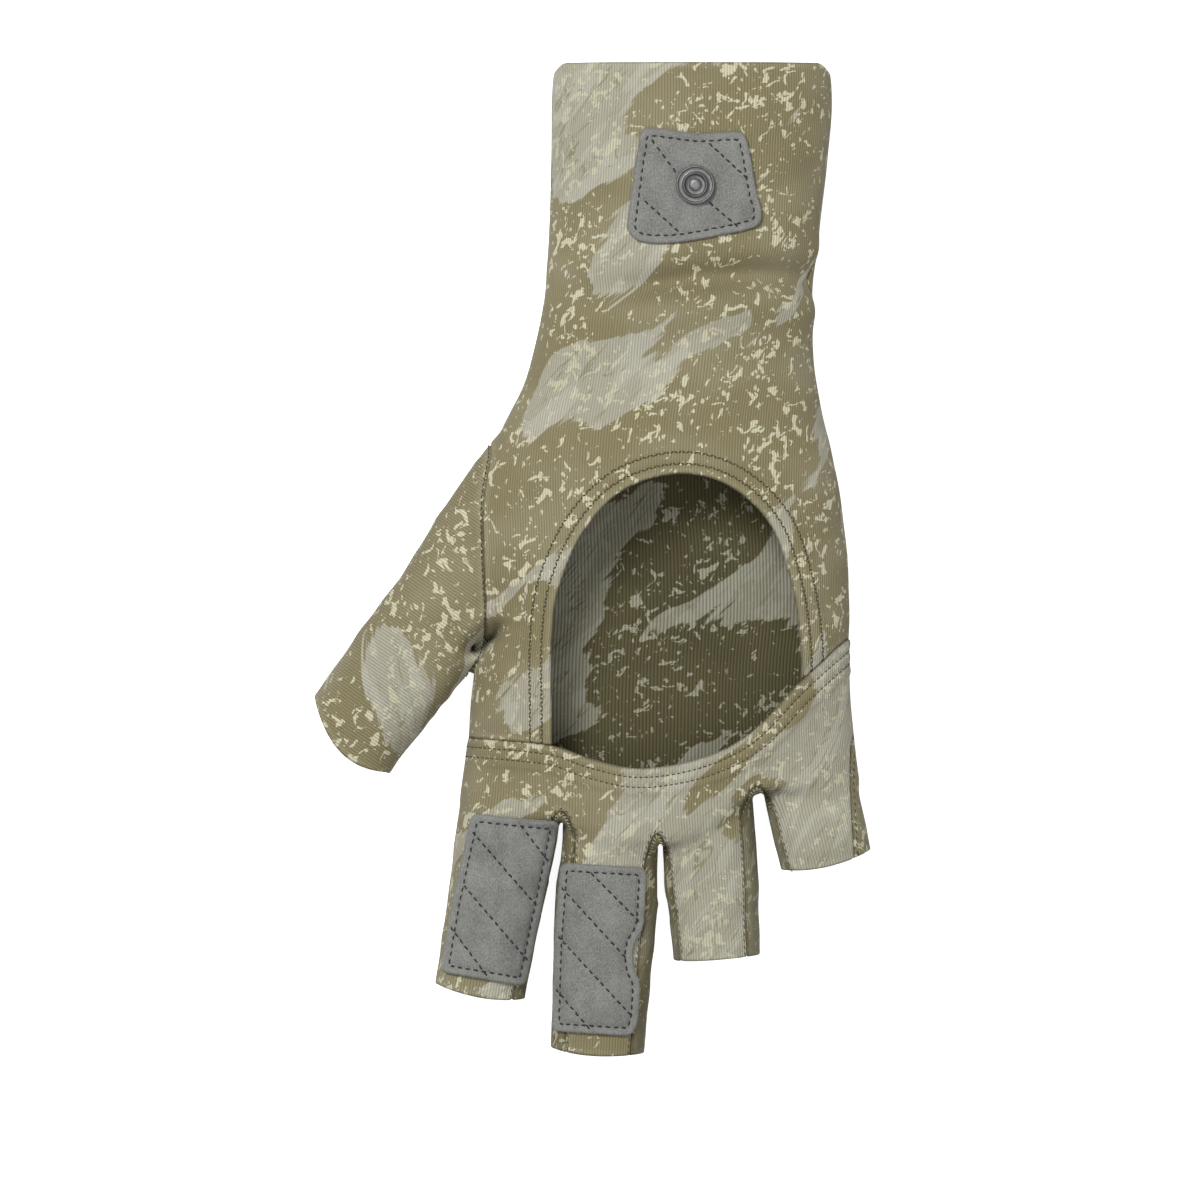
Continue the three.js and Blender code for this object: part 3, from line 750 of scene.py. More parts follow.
def net(distance: Callable[[Array], Array], low: Array, high: Array, step: float) -> Skin:
    """Wraps an even net of triangles round a form.

    Args:
        distance: the form's distance function.
        low: the lowest corner of the space to look in.
        high: its highest corner.
        step: the size of the net's cells.

    Returns:
        The net, near the surface but not yet settled on it.
    """
    axes = [np.arange(a, b + step, step) for a, b in zip(low, high)]
    grid = np.stack(np.meshgrid(*axes, indexing="ij"), axis=-1)
    shape = grid.shape[:3]
    value = distance(grid.reshape(-1, 3)).reshape(shape)
    cells = tuple(n - 1 for n in shape)
    place, hits = np.zeros((*cells, 3)), np.zeros(cells)
    walls = []
    for axis in range(3):
        first = np.take(value, range(cells[axis]), axis)
        second = np.take(value, range(1, shape[axis]), axis)
        crossing = (first < 0) != (second < 0)
        share = np.where(crossing, first / np.where(crossing, first - second, 1), 0)
        spot = np.take(grid, range(cells[axis]), axis) * crossing[..., None]
        spot[..., axis] += share * step
        others = [k for k in range(3) if k != axis]
        for shifts in ((0, 0), (0, 1), (1, 0), (1, 1)):
            part = [slice(None)] * 3
            for k, shift in zip(others, shifts):
                part[k] = slice(shift, shift + cells[k])
            place += spot[tuple(part)]
            hits += crossing[tuple(part)]
        inner = [slice(None)] * 3
        for k in others:
            inner[k] = slice(1, cells[k])
        at = np.argwhere(crossing[tuple(inner)])
        for k in others:
            at[:, k] += 1
        walls.append((axis, at, first[tuple(at.T)] < 0))
    used = hits > 0
    index = np.full(cells, -1)
    index[used] = np.arange(used.sum())
    points = place[used] / hits[used][:, None]
    quads = []
    for axis, at, outward in walls:
        others = [(axis + 1) % 3, (axis + 2) % 3]
        ring = []
        for back in ((1, 1), (0, 1), (0, 0), (1, 0)):
            cell = at.copy()
            cell[:, others[0]] -= back[0]
            cell[:, others[1]] -= back[1]
            ring.append(index[tuple(cell.T)])
        ring = np.stack(ring, axis=1)
        quads.append(np.where(outward[:, None], ring, ring[:, ::-1]))
    quads = np.concatenate(quads)
    span = [np.linalg.norm(points[quads[:, a]] - points[quads[:, a + 2]], axis=1) for a in (0, 1)]
    flip = (span[1] < span[0])[:, None]
    one = np.where(flip, quads[:, [0, 1, 3]], quads[:, [0, 1, 2]])
    two = np.where(flip, quads[:, [1, 2, 3]], quads[:, [0, 2, 3]])
    return Skin(points, np.zeros_like(points), np.concatenate([one, two]), {})


@dataclass
class Surface:
    """A finished mesh: points, faces, which faces are inside, cloth coordinates, edge distance."""

    points: Array
    faces: Array
    inside: Array
    cloth: Array
    edge: Array

    @classmethod
    def plain(cls, points: Array, faces: Array) -> "Surface":
        """A mesh of one material that has no edge."""
        return cls(points, faces, np.zeros(len(faces)), points[:, :2], np.zeros(len(points)))

    def to_object(self, name: str, materials: list[bpy.types.Material]) -> bpy.types.Object:
        """Makes a Blender object in the shared frame.

        Args:
            name: the piece's name.
            materials: the outer material and, for cloth, the inner one.

        Returns:
            The object, linked to the scene.
        """
        mesh = bpy.data.meshes.new(name)
        count = len(self.faces)
        mesh.vertices.add(len(self.points))
        mesh.vertices.foreach_set("co", ((self.points + FOOTPRINT_SHIFT) * MM).ravel())
        mesh.loops.add(count * 3)
        mesh.loops.foreach_set("vertex_index", self.faces.ravel().astype(np.int32))
        mesh.polygons.add(count)
        mesh.polygons.foreach_set("loop_start", np.arange(0, count * 3, 3, dtype=np.int32))
        for material in materials:
            mesh.materials.append(material)
        mesh.polygons.foreach_set("material_index", self.inside.astype(np.int32))
        mesh.update(calc_edges=True)
        mesh.shade_smooth()
        layer = mesh.uv_layers.new(name="cloth")
        layer.data.foreach_set("uv", self.cloth[self.faces].astype(np.float32).ravel())
        edge = mesh.attributes.new("edge", "FLOAT", "POINT")
        edge.data.foreach_set("value", self.edge.astype(np.float32))
        piece = bpy.data.objects.new(name, mesh)
        bpy.context.scene.collection.objects.link(piece)
        return piece


def declare(piece: bpy.types.Object, node: str = "") -> None:
    """Puts a piece on the glove's one body and hides the solid that it stands for.

    Args:
        piece: the piece.
        node: the solid that it stands for, where it stands for one.
    """
    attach(piece, "root")
    if node:
        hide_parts(node)


def thicken(
    skin: Skin, edge: Array, thickness: float, relief: Array, fold: Array, grain: tuple[str, str]
) -> Surface:
    """Gives a skin its thickness, with rounded edges.

    Args:
        skin: the skin of the cloth's outer face.
        edge: the distance of each point from the cloth's edge.
        thickness: the cloth's thickness.
        relief: how far each point stands proud.
        fold: the extra thickness inside, where the cloth is folded.
        grain: the names of the two cloth coordinates.

    Returns:
        The closed cloth mesh.
    """
    radius = thickness / 2
    rim = skin.edge_points()
    full = radius * np.sqrt(1 - (1 - np.clip(edge / radius, 0, 1)) ** 2)
    full[rim] = 0
    middle = skin.points + skin.normals * (relief * (~rim) - radius)[:, None]
    outer = middle + skin.normals * full[:, None]
    inward = full + fold * np.clip(edge / FOLD_TAPER, 0, 1) * (~rim)
    inner = middle - skin.normals * inward[:, None]
    number = np.arange(len(rim))
    number[~rim] = len(rim) + np.arange((~rim).sum())
    points = np.concatenate([outer, inner[~rim]])
    points[:, 2] = np.maximum(points[:, 2], LOWEST_CLOTH)
    back = number[skin.faces][:, ::-1]
    inside = np.repeat([0, 1], [len(skin.faces), len(back)])
    cloth = np.stack([skin.values[name] for name in grain], axis=1)
    cloth = np.concatenate([cloth, cloth[~rim]])
    edges = np.concatenate([edge, edge[~rim]])
    return Surface(points, np.concatenate([skin.faces, back]), inside, cloth, edges)


# Seams in the plan


def shares(rows: list[Point]) -> Array:
    """Plan points from shares of the knuckle width and of the palm length down the hand."""
    return np.array(rows) * [HAND.knuckle_width, -HAND.palm_length]


FAR = 400.0
KNUCKLE_SEAM = [(-0.643, 0.837), (-0.47, 0.842), (-0.273, 0.856), (-0.175, 0.881)]
KNUCKLE_SEAM += [(-0.052, 0.9), (0.096, 0.881), (0.219, 0.833), (0.342, 0.735)]
KNUCKLE_SEAM += [(0.466, 0.65), (0.589, 0.577)]
WINDOW_EDGE = [(-0.2685, 0.95), (-0.2685, 0.8), (-0.2685, 0.654), (-0.249, 0.548)]
WINDOW_EDGE += [(-0.187, 0.442), (-0.089, 0.365), (0.047, 0.335), (0.17, 0.36)]
WINDOW_EDGE += [(0.2685, 0.433), (0.318, 0.538), (0.342, 0.654), (0.347, 0.8), (0.347, 0.95)]
THUMB_SEAM = [(-0.51, 0.15), (-0.424, 0.2615), (-0.438, 0.385), (-0.436, 0.5)]
THUMB_SEAM += [(-0.429, 0.615), (-0.438, 0.673), (-0.474, 0.725), (-0.544, 0.82)]


# The strip of back cloth that wraps round the little finger's outer side, in the plan.
OUTER_STRIP = [(49.6, -107.0), (47.6, -112.0), (47.5, -122.0), (48.0, -132.0), (48.6, -141.0)]
OUTER_STRIP += [(49.5, -148.0), (66.0, -148.0), (66.0, -107.0)]


@dataclass
class Seams:
    """Signed distances from every seam, each negative inside its own region."""

    form: GloveForm
    arch_rise: float = 2.6
    arch_length: float = 5.0
    hole_radius: float = 0.42

    def fingers(self, p: Array) -> Array:
        """The region below the knuckle seam."""
        line = through(shares(KNUCKLE_SEAM), 60)
        return outline_distance(p, np.concatenate([line, [(FAR, -FAR), (-FAR, -FAR)]]))

    def window(self, p: Array) -> Array:
        """The window in the palm."""
        return outline_distance(p, through(shares(WINDOW_EDGE), 72))

    def thumb(self, p: Array) -> Array:
        """The region of the thumb sleeve."""
        line = through(shares(THUMB_SEAM), 48)
        x = line[-1][0] - 0.07 * HAND.knuckle_width
        corners = [(x, -HAND.palm_length), (x, -FAR), (-FAR, -FAR), (-FAR, 0)]
        return outline_distance(p, np.concatenate([line, corners]))

    def side_line(self, number: int, sign: int, strip: float, start: float) -> Array:
        """The seam at a strip's width inside a finger's outline."""
        limb = self.form.fingers[number]
        along = np.linspace(start, limb.length + BEYOND + 4, 24)
        return limb.plan(along, sign * (limb.column(along, 1) - strip))

    def gusset(self, number: int, p: Array) -> Array:
        """The side cloth between two fingers, arched round their crotch.

        Args:
            number: which gap, counted from the index finger.
            p: points on the surface.

        Returns:
            The signed distances.
        """
        finger, after = FINGERS[number], FINGERS[number + 1]
        slit = self.form.fingers[number].x + (finger.width + finger.gap_after) / 2
        drop = float(web_drop(np.array([slit]))[0])
        near = self.side_line(number, 1, finger.outer_strip, drop + self.arch_length)
        far = self.side_line(number + 1, -1, after.thumb_strip, drop + self.arch_length)
        lift = -HAND.palm_length - drop + 2 * self.arch_rise + self.arch_length
        peak = np.array([(near[0, 0] + far[0, 0]) / 2, lift])
        arch = corner_curve(near[0], peak, far[0], 12)
        outline = outline_distance(p, np.concatenate([near[:0:-1], arch, far[1:]]))
        return np.maximum(outline, HAND.gusset_seam - p[:, 2])

    def back(self, p: Array) -> Array:
        """The region of the back panel, which wraps up round the little finger's outer side."""
        strip = outline_distance(p, through(np.array(OUTER_STRIP), 40, closed=True, tension=0.2))
        low = HAND.side_seam - 1.6 * rise(-p[:, 1], 104, 126)
        return np.minimum(p[:, 2] - low, strip)

    def crotch_hole(self, p: Array) -> Array:
        """The little hollow left open where the thumb's seam ends at its crotch."""
        along, off = along_way(p, CROTCH_HOLE, CROTCH_HOLE_WAY)
        return np.maximum(np.hypot(along / 2, off) - self.hole_radius, 10 - p[:, 2])

    def mouths(self, p: Array) -> Array:
        """How far points lie beyond the nearest finger's mouth."""
        share, past = [], []
        for limb in self.form.fingers:
            along, c = limb.place(p)
            share.append(np.abs(c) / limb.column(along, 1))
            past.append(np.where(along > 0, limb.past_mouth(p), along - 20))
        nearest = np.argmin(share, axis=0)
        return np.choose(nearest, past)


SPACE_LOW = np.array([-93, -200, -1.6])
SPACE_HIGH = np.array([60, 68, 32])
STEP = 0.9


@dataclass
class Shell:
    """The settled outer skin of the glove with all its seam distances and cloth coordinates."""

    form: GloveForm
    skin: Skin

    @classmethod
    def wrap(cls, form: GloveForm, step: float) -> "Shell":
        """Wraps and settles the skin.

        Args:
            form: the glove's form.
            step: the size of the net's cells.

        Returns:
            The shell.
        """
        skin = net(form.distance, SPACE_LOW, SPACE_HIGH, step)
        skin.points = form.settle(skin.points, 0)
        skin.normals = form.normal(skin.points)
        seams = Seams(form)
        p = skin.points
        values = {
            "fingers": seams.fingers(p),
            "window": seams.window(p),
            "thumb": seams.thumb(p),
            "back": seams.back(p),
            "mouths": seams.mouths(p),
            "thumb_mouth": form.thumb.past_mouth(p),
            "cuff": form.hand.past_cuff(p),
            "hole": seams.crotch_hole(p),
        }
        for number in range(3):
            values[f"gusset{number}"] = seams.gusset(number, p)
        values.update(cls.cloth(form, p))
        skin.values = values
        return cls(form, skin)

    @staticmethod
    def cloth(form: GloveForm, p: Array) -> dict[str, Array]:
        """Cloth coordinates for each grain, as named columns."""
        columns: dict[str, Array] = {}
        straight = form.hand.straight(p)[2]
        places = [limb.place(p) for limb in form.fingers]
        share = [np.abs(c) / limb.column(a, 1) for limb, (a, c) in zip(form.fingers, places)]
        nearest = np.argmin(share, axis=0)
        along = np.choose(nearest, [a for a, _ in places])
        into = rise(along, -16, 6)
        for grain, under in ((Grain.PALM_SIDE, False), (Grain.BACK_SIDE, True)):
            arcs = [limb.cloth(p, under)[0] + limb.x for limb in form.fingers]
            across = form.hand.limb.cloth(straight, under)[0]
            columns[f"{grain.value}_u"] = across * (1 - into) + np.choose(nearest, arcs) * into
            columns[f"{grain.value}_v"] = p[:, 1] * (1 - into) - (along + HAND.palm_length) * into
        columns["thumb_v"], columns["thumb_u"] = form.thumb.cloth(p, False)
        return columns


# Shader building


@dataclass
class Graph:
    """Adds nodes to one node tree and links them."""

    tree: bpy.types.NodeTree

    def feed(self, node: bpy.types.Node, inputs: dict[int | str, object]) -> None:
        """Links sockets to a node's inputs, or sets values on them, by name or number."""
        for key, value in inputs.items():
            if isinstance(value, bpy.types.NodeSocket):
                self.tree.links.new(value, node.inputs[key])
            else:
                node.inputs[key].default_value = value

    def node(
        self, kind: str, inputs: dict[int | str, object], **settings: object
    ) -> bpy.types.Node:
        """Adds one node.

        Args:
            kind: the node's type name.
            inputs: values or sockets for its inputs, by name or number.
            settings: the node's own settings.

        Returns:
            The node.
        """
        made = self.tree.nodes.new(kind)
        for name, value in settings.items():
            setattr(made, name, value)
        self.feed(made, inputs)
        return made

    def math(self, kind: str, a: object, b: object = 0.0, c: object = 0.0) -> Socket:
        """The result of one sum."""
        return self.node("ShaderNodeMath", {0: a, 1: b, 2: c}, operation=kind).outputs[0]

    def clamped(self, value: Socket) -> Socket:
        """A value kept from 0 to 1."""
        return self.node("ShaderNodeClamp", {0: value}).outputs[0]

    def step(self, value: object, low: float, high: float) -> Socket:
        """A smooth step from 0 at low to 1 at high."""
        inputs = {0: value, 1: low, 2: high}
        made = self.node("ShaderNodeMapRange", inputs, interpolation_type="SMOOTHSTEP")
        return made.outputs[0]

    def mix(self, share: object, a: object, b: object, way: str = "MIX") -> Socket:
        """A mix of two colours."""
        inputs = {0: share, 6: a, 7: b}
        return self.node("ShaderNodeMix", inputs, data_type="RGBA", blend_type=way).outputs[2]

    def moved(
        self,
        vector: Socket,
        scale: tuple[float, float, float],
        shift: tuple[float, float, float] = (0, 0, 0),
        turn: float = 0,
    ) -> Socket:
        """Coordinates turned, scaled and shifted."""
        if turn:
            inputs = {"Vector": vector, "Angle": turn}
            made = self.node("ShaderNodeVectorRotate", inputs, rotation_type="Z_AXIS")
            vector = made.outputs[0]
        inputs = {"Vector": vector, "Location": shift, "Scale": scale}
        return self.node("ShaderNodeMapping", inputs).outputs[0]

    def noise(
        self, vector: Socket, scale: float, detail: float = 2, rough: float = 0.5, warp: float = 0
    ) -> bpy.types.Node:
        """A noise texture over the given coordinates."""
        inputs = {"Vector": vector, "Scale": scale, "Detail": detail, "Roughness": rough}
        return self.node("ShaderNodeTexNoise", {**inputs, "Distortion": warp})

    def relief(self, height: Socket, depth: float, strength: float = 1.0) -> Socket:
        """The surface direction that a height gives, its depth in millimetres."""
        inputs = {"Height": height, "Distance": depth * MM, "Strength": strength}
        return self.node("ShaderNodeBump", inputs).outputs[0]


@dataclass
class Effect:
    """A shader node group with named inputs and outputs."""

    name: str
    inputs: dict[str, tuple[str, object]]
    outputs: dict[str, str]
    fill: Callable[[Graph, dict[str, Socket]], dict[str, Socket]]

    def tree(self) -> bpy.types.NodeTree:
        """The group's node tree, built once."""
        if self.name in bpy.data.node_groups:
            return bpy.data.node_groups[self.name]
        made = bpy.data.node_groups.new(self.name, "ShaderNodeTree")
        for name, (kind, value) in self.inputs.items():
            socket = made.interface.new_socket(name, in_out="INPUT", socket_type=kind)
            if value is not None:
                socket.default_value = value
        for name, kind in self.outputs.items():
            made.interface.new_socket(name, in_out="OUTPUT", socket_type=kind)
        graph = Graph(made)
        source = graph.node("NodeGroupInput", {})
        results = self.fill(graph, {name: source.outputs[name] for name in self.inputs})
        graph.node("NodeGroupOutput", dict(results))
        return made

    def place(self, graph: Graph, **values: object) -> bpy.types.Node:
        """Adds the group to a material's tree with its own values."""
        made = graph.tree.nodes.new("ShaderNodeGroup")
        made.node_tree = self.tree()
        graph.feed(made, values)
        return made


FLOAT, COLOR, VECTOR = "NodeSocketFloat", "NodeSocketColor", "NodeSocketVector"
RIB_PITCH = 0.72
LOOP_HEIGHT = 0.62
PRINT_LEAN = math.radians(-38)


def rib_nodes(g: Graph, s: dict[str, Socket]) -> dict[str, Socket]:
    """Fine vertical ribs of stretch knit, with the small loops down each rib.

    Args:
        g: the group's graph.
        s: the group's input sockets.

    Returns:
        The group's outputs.
    """
    wander = g.noise(g.moved(s["Cloth"], (0.05, 0.02, 1)), 1.0, 1)
    parts = g.node("ShaderNodeSeparateXYZ", {0: s["Cloth"]})
    across = g.math("ADD", parts.outputs[0], g.math("MULTIPLY", wander.outputs[0], 1.6))
    turn = g.math("MULTIPLY", g.math("DIVIDE", across, s["Pitch"]), 2 * math.pi)
    wave = g.math("MULTIPLY_ADD", g.math("COSINE", turn), 0.5, 0.5)
    loop = g.math("MULTIPLY", parts.outputs[1], 2 * math.pi / LOOP_HEIGHT)
    slant = g.math("ADD", loop, g.math("MULTIPLY", g.math("COSINE", turn), 1.4))
    stitch = g.math("MULTIPLY_ADD", g.math("SINE", slant), 0.5, 0.5)
    uneven = g.noise(g.moved(s["Cloth"], (1.3, 0.12, 1)), 1.0, 2)
    height = g.math("MULTIPLY", wave, g.math("MULTIPLY_ADD", uneven.outputs[0], 0.6, 0.6))
    height = g.math("ADD", height, g.math("MULTIPLY", stitch, 0.22))
    shade = g.math("MULTIPLY_ADD", stitch, 0.12, g.step(wave, 0.02, 0.62))
    return {"Height": height, "Rib": g.clamped(shade)}


def print_nodes(g: Graph, s: dict[str, Socket]) -> dict[str, Socket]:
    """A plain field camouflage: dry brush strokes, streaks and clusters of pale flecks.

    Args:
        g: the group's graph.
        s: the group's input sockets.

    Returns:
        The group's outputs.
    """
    cloth = s["Cloth"]
    lean = PRINT_LEAN
    wide = g.moved(cloth, (0.019, 0.036, 1), (2.3, 5.1, 0), lean)
    bend = g.noise(g.moved(cloth, (0.03, 0.03, 1), (7, 1, 0)), 1.0, 2)
    pushed = g.node("ShaderNodeVectorMath", {0: bend.outputs[1]}, operation="SCALE")
    pushed.inputs["Scale"].default_value = 0.6
    place = g.node("ShaderNodeVectorMath", {0: wide, 1: pushed.outputs[0]}, operation="ADD")
    big = g.noise(place.outputs[0], 1.0, 1.6, 0.4, 0.5)
    bristle = g.noise(g.moved(cloth, (0.05, 0.62, 1), (0, 3, 0), lean * 1.15), 1.0, 3, 0.6)
    ragged = g.math("MULTIPLY_ADD", bristle.outputs[0], 0.085, big.outputs[0])
    taupe = g.step(ragged, 0.619, 0.628)
    bare = g.step(ragged, 0.62, 0.70)
    light = g.noise(g.moved(cloth, (0.045, 0.15, 1), (9, 2, 0), lean * 1.3), 1.0, 2, 0.5, 0.6)
    pale = g.math("MULTIPLY", g.step(light.outputs[0], 0.53, 0.57), taupe)
    streak = g.noise(g.moved(cloth, (0.028, 0.24, 1), (4, 8, 0), lean * 1.3), 1.0, 2, 0.6, 1.2)
    line = g.math("ABSOLUTE", g.math("SUBTRACT", streak.outputs[0], 0.5))
    line = g.math("SUBTRACT", 1.0, g.step(line, 0.006, 0.015))
    line = g.math("MULTIPLY", line, bare)
    brown = g.noise(g.moved(cloth, (0.03, 0.045, 1), (1, 12, 0)), 1.0, 2)
    ground = g.mix(g.step(brown.outputs[0], 0.42, 0.64), s["Olive"], s["Brown"])
    stroke = g.mix(pale, s["Taupe"], s["Mist"])
    stroke = g.mix(g.math("MULTIPLY", line, 0.7), stroke, s["Olive"])
    colour = g.mix(taupe, ground, stroke)
    cluster = g.noise(g.moved(cloth, (0.055, 0.075, 1), (3, 3, 0), lean), 1.0, 2, 0.55)
    crowd = g.step(cluster.outputs[0], 0.34, 0.66)
    marks: object = 0.0
    layers = (
        ((0.36, 0.26), (5, 5), 16, 0.668, 0.088, 0.6),
        ((0.27, 0.40), (2, 9), -28, 0.674, 0.084, 0.8),
        ((0.62, 0.50), (8, 1), -20, 0.684, 0.050, 0.4),
    )
    for scale, shift, turn, bar, drop, warp in layers:
        at = g.moved(cloth, (*scale, 1), (*shift, 0), math.radians(turn))
        fleck = g.noise(at, 1.0, 2.4, 0.55, warp)
        need = g.math("MULTIPLY_ADD", crowd, -drop, bar)
        over = g.math("SUBTRACT", fleck.outputs[0], need)
        marks = g.math("MAXIMUM", marks, g.step(over, 0.0, 0.014))
    marks = g.math("MULTIPLY", marks, g.math("MULTIPLY_ADD", taupe, -0.3, 0.95))
    colour = g.mix(marks, colour, s["Cream"])
    return {"Color": colour, "Flecks": marks}


def nap_nodes(g: Graph, s: dict[str, Socket]) -> dict[str, Socket]:
    """Short brushed nap with soft darker and lighter patches.

    Args:
        g: the group's graph.
        s: the group's input sockets.

    Returns:
        The group's outputs.
    """
    fine = g.noise(g.moved(s["Cloth"], (2.6, 2.1, 1)), 1.0, 4, 0.75)
    patch = g.noise(g.moved(s["Cloth"], (0.18, 0.12, 1)), 1.0, 3, 0.6)
    hair = g.noise(g.moved(s["Cloth"], (5.5, 0.9, 1), (0, 0, 0), math.radians(18)), 1.0, 2, 0.6)
    shade = g.math("MULTIPLY_ADD", fine.outputs[0], 0.75, -0.12)
    shade = g.math("MULTIPLY_ADD", patch.outputs[0], 0.3, shade)
    shade = g.math("MULTIPLY_ADD", hair.outputs[0], 0.35, shade)
    height = g.math("MULTIPLY_ADD", hair.outputs[0], 0.6, fine.outputs[0])
    return {"Shade": g.step(shade, 0.38, 0.78), "Height": height}


def seam_shade_and_wear_nodes(g: Graph, s: dict[str, Socket]) -> dict[str, Socket]:
    """Painted shade that darkens the seam grooves, and slight rubbing wear just beside them.

    Args:
        g: the group's graph.
        s: the group's input sockets.

    Returns:
        The group's outputs.
    """
    distance = g.node("ShaderNodeAttribute", {}, attribute_name="edge").outputs["Fac"]
    rough = g.noise(g.moved(s["Cloth"], (0.8, 0.8, 1)), 1.0, 2)
    ragged = g.math("MULTIPLY_ADD", rough.outputs[0], 0.5, distance)
    # Groove is painted shade: darkest at a panel's edge, fading out by Reach.
    groove = g.math("SUBTRACT", 1.0, g.step(ragged, 0.2, s["Reach"]))
    beyond = g.math("SUBTRACT", 1.0, g.step(distance, 0.8, 2.2))
    rub = g.math("MULTIPLY", g.step(distance, 0.3, 0.8), beyond)
    return {"Groove": groove, "Rub": g.math("MULTIPLY", rub, rough.outputs[0])}


WHITE = (1.0, 1.0, 1.0, 1.0)
PRINT_COLOURS = ("Olive", "Brown", "Taupe", "Mist", "Cream")
CLOTH_IN = {"Cloth": (VECTOR, None)}
RIBS = Effect(
    "ribs", {**CLOTH_IN, "Pitch": (FLOAT, RIB_PITCH)}, {"Height": FLOAT, "Rib": FLOAT}, rib_nodes
)
PRINT = Effect(
    "field_print",
    {**CLOTH_IN, **{name: (COLOR, WHITE) for name in PRINT_COLOURS}},
    {"Color": COLOR, "Flecks": FLOAT},
    print_nodes,
)
NAP = Effect("suede_nap", dict(CLOTH_IN), {"Shade": FLOAT, "Height": FLOAT}, nap_nodes)
# Painted shade in the seam grooves, with rubbing wear just beside them.
SEAM_SHADE_AND_WEAR = Effect(
    "seam_wear", {**CLOTH_IN, "Reach": (FLOAT, 1.2)}, {"Groove": FLOAT, "Rub": FLOAT}, seam_shade_and_wear_nodes
)


def linear(r: int, g: int, b: int) -> Colour:
    """A colour from its usual 0 to 255 values."""
    return (*(((v / 255 + 0.055) / 1.055) ** 2.4 for v in (r, g, b)), 1.0)


@dataclass(frozen=True)
class Finish:
    """A material of the glove."""

    name: str

    def begin(self) -> tuple[bpy.types.Material, Graph, bpy.types.Node]:
        """Starts the material.

        Returns:
            The material, its graph and its surface shader.
        """
        material = bpy.data.materials.new(self.name)
        material.use_nodes = True
        graph = Graph(material.node_tree)
        return material, graph, material.node_tree.nodes["Principled BSDF"]

    def build(self) -> bpy.types.Material:
        """The finished material."""
        return self.begin()[0]


# How far from a panel's edge the painted groove shade reaches, in millimetres.
SEAM_SHADE_REACH = 0.9


@dataclass(frozen=True)
class Knit(Finish):
    """Printed stretch knit, on its outer or inner face."""

    olive: Colour = linear(145, 136, 102)
    brown: Colour = linear(156, 148, 117)
    taupe: Colour = linear(181, 177, 158)
    mist: Colour = linear(192, 189, 172)
    cream: Colour = linear(222, 217, 186)
    # Colour of the painted shade that darkens the seam grooves.
    seam_dirt: Colour = linear(52, 48, 34)
    rubbed: Colour = linear(205, 200, 175)
    groove_shade: float = 0.68
    pitch: float = RIB_PITCH
    rib_depth: float = 0.12
    groove_tint: float = 0.35
    rub_tint: float = 0.22
    shift: tuple[float, float, float] = (0.0, 0.0, 0.0)

    def build(self) -> bpy.types.Material:
        """Builds the printed, ribbed cloth.

        Returns:
            The material.
        """
        material, g, shader = self.begin()
        uv = g.node("ShaderNodeUVMap", {}, uv_map="cloth").outputs[0]
        printed = g.moved(uv, (1, 1, 1), self.shift)
        colours = (self.olive, self.brown, self.taupe, self.mist, self.cream)
        camo = PRINT.place(g, Cloth=printed, **dict(zip(PRINT_COLOURS, colours)))
        ribs = RIBS.place(g, Cloth=uv, Pitch=self.pitch)
        shade_and_wear = SEAM_SHADE_AND_WEAR.place(g, Cloth=uv, Reach=SEAM_SHADE_REACH)
        dark, rib = self.groove_shade, ribs.outputs["Rib"]
        shade = g.math("MULTIPLY_ADD", rib, 1 - dark, dark)
        tone = g.node("ShaderNodeCombineColor", {0: shade, 1: shade, 2: shade}).outputs[0]
        colour = g.mix(1.0, camo.outputs["Color"], tone, "MULTIPLY")
        # Painted shade: the cloth darkens towards its seam grooves.
        groove = g.math("MULTIPLY", shade_and_wear.outputs["Groove"], self.groove_tint)
        colour = g.mix(groove, colour, self.seam_dirt)
        colour = g.mix(g.math("MULTIPLY", shade_and_wear.outputs["Rub"], self.rub_tint), colour, self.rubbed)
        dressing = {
            "Base Color": colour,
            "Roughness": g.math("MULTIPLY_ADD", rib, -0.08, 0.9),
            "Specular IOR Level": 0.25,
            "Sheen Weight": 0.12,
            "Sheen Roughness": 0.5,
            "Normal": g.relief(ribs.outputs["Height"], self.rib_depth),
        }
        g.feed(shader, dressing)
        return material


@dataclass(frozen=True)
class Suede(Finish):
    """Grey napped suede."""

    dark: Colour = linear(102, 102, 98)
    light: Colour = linear(158, 158, 153)
    # Colour of the painted shade that darkens the seam grooves.
    seam_dirt: Colour = linear(96, 95, 93)
    rubbed: Colour = linear(168, 167, 163)

    def build(self) -> bpy.types.Material:
        """Builds the suede.

        Returns:
            The material.
        """
        material, g, shader = self.begin()
        uv = g.node("ShaderNodeUVMap", {}, uv_map="cloth").outputs[0]
        nap = NAP.place(g, Cloth=uv)
        shade_and_wear = SEAM_SHADE_AND_WEAR.place(g, Cloth=uv, Reach=SEAM_SHADE_REACH)
        colour = g.mix(nap.outputs["Shade"], self.dark, self.light)
        # Painted shade: the suede darkens towards its seam grooves.
        colour = g.mix(g.math("MULTIPLY", shade_and_wear.outputs["Groove"], 0.4), colour, self.seam_dirt)
        colour = g.mix(g.math("MULTIPLY", shade_and_wear.outputs["Rub"], 0.25), colour, self.rubbed)
        dressing = {
            "Base Color": colour,
            "Roughness": 0.95,
            "Specular IOR Level": 0.15,
            "Sheen Weight": 0.25,
            "Sheen Roughness": 0.6,
            "Normal": g.relief(nap.outputs["Height"], 0.12, 0.8),
        }
        g.feed(shader, dressing)
        return material


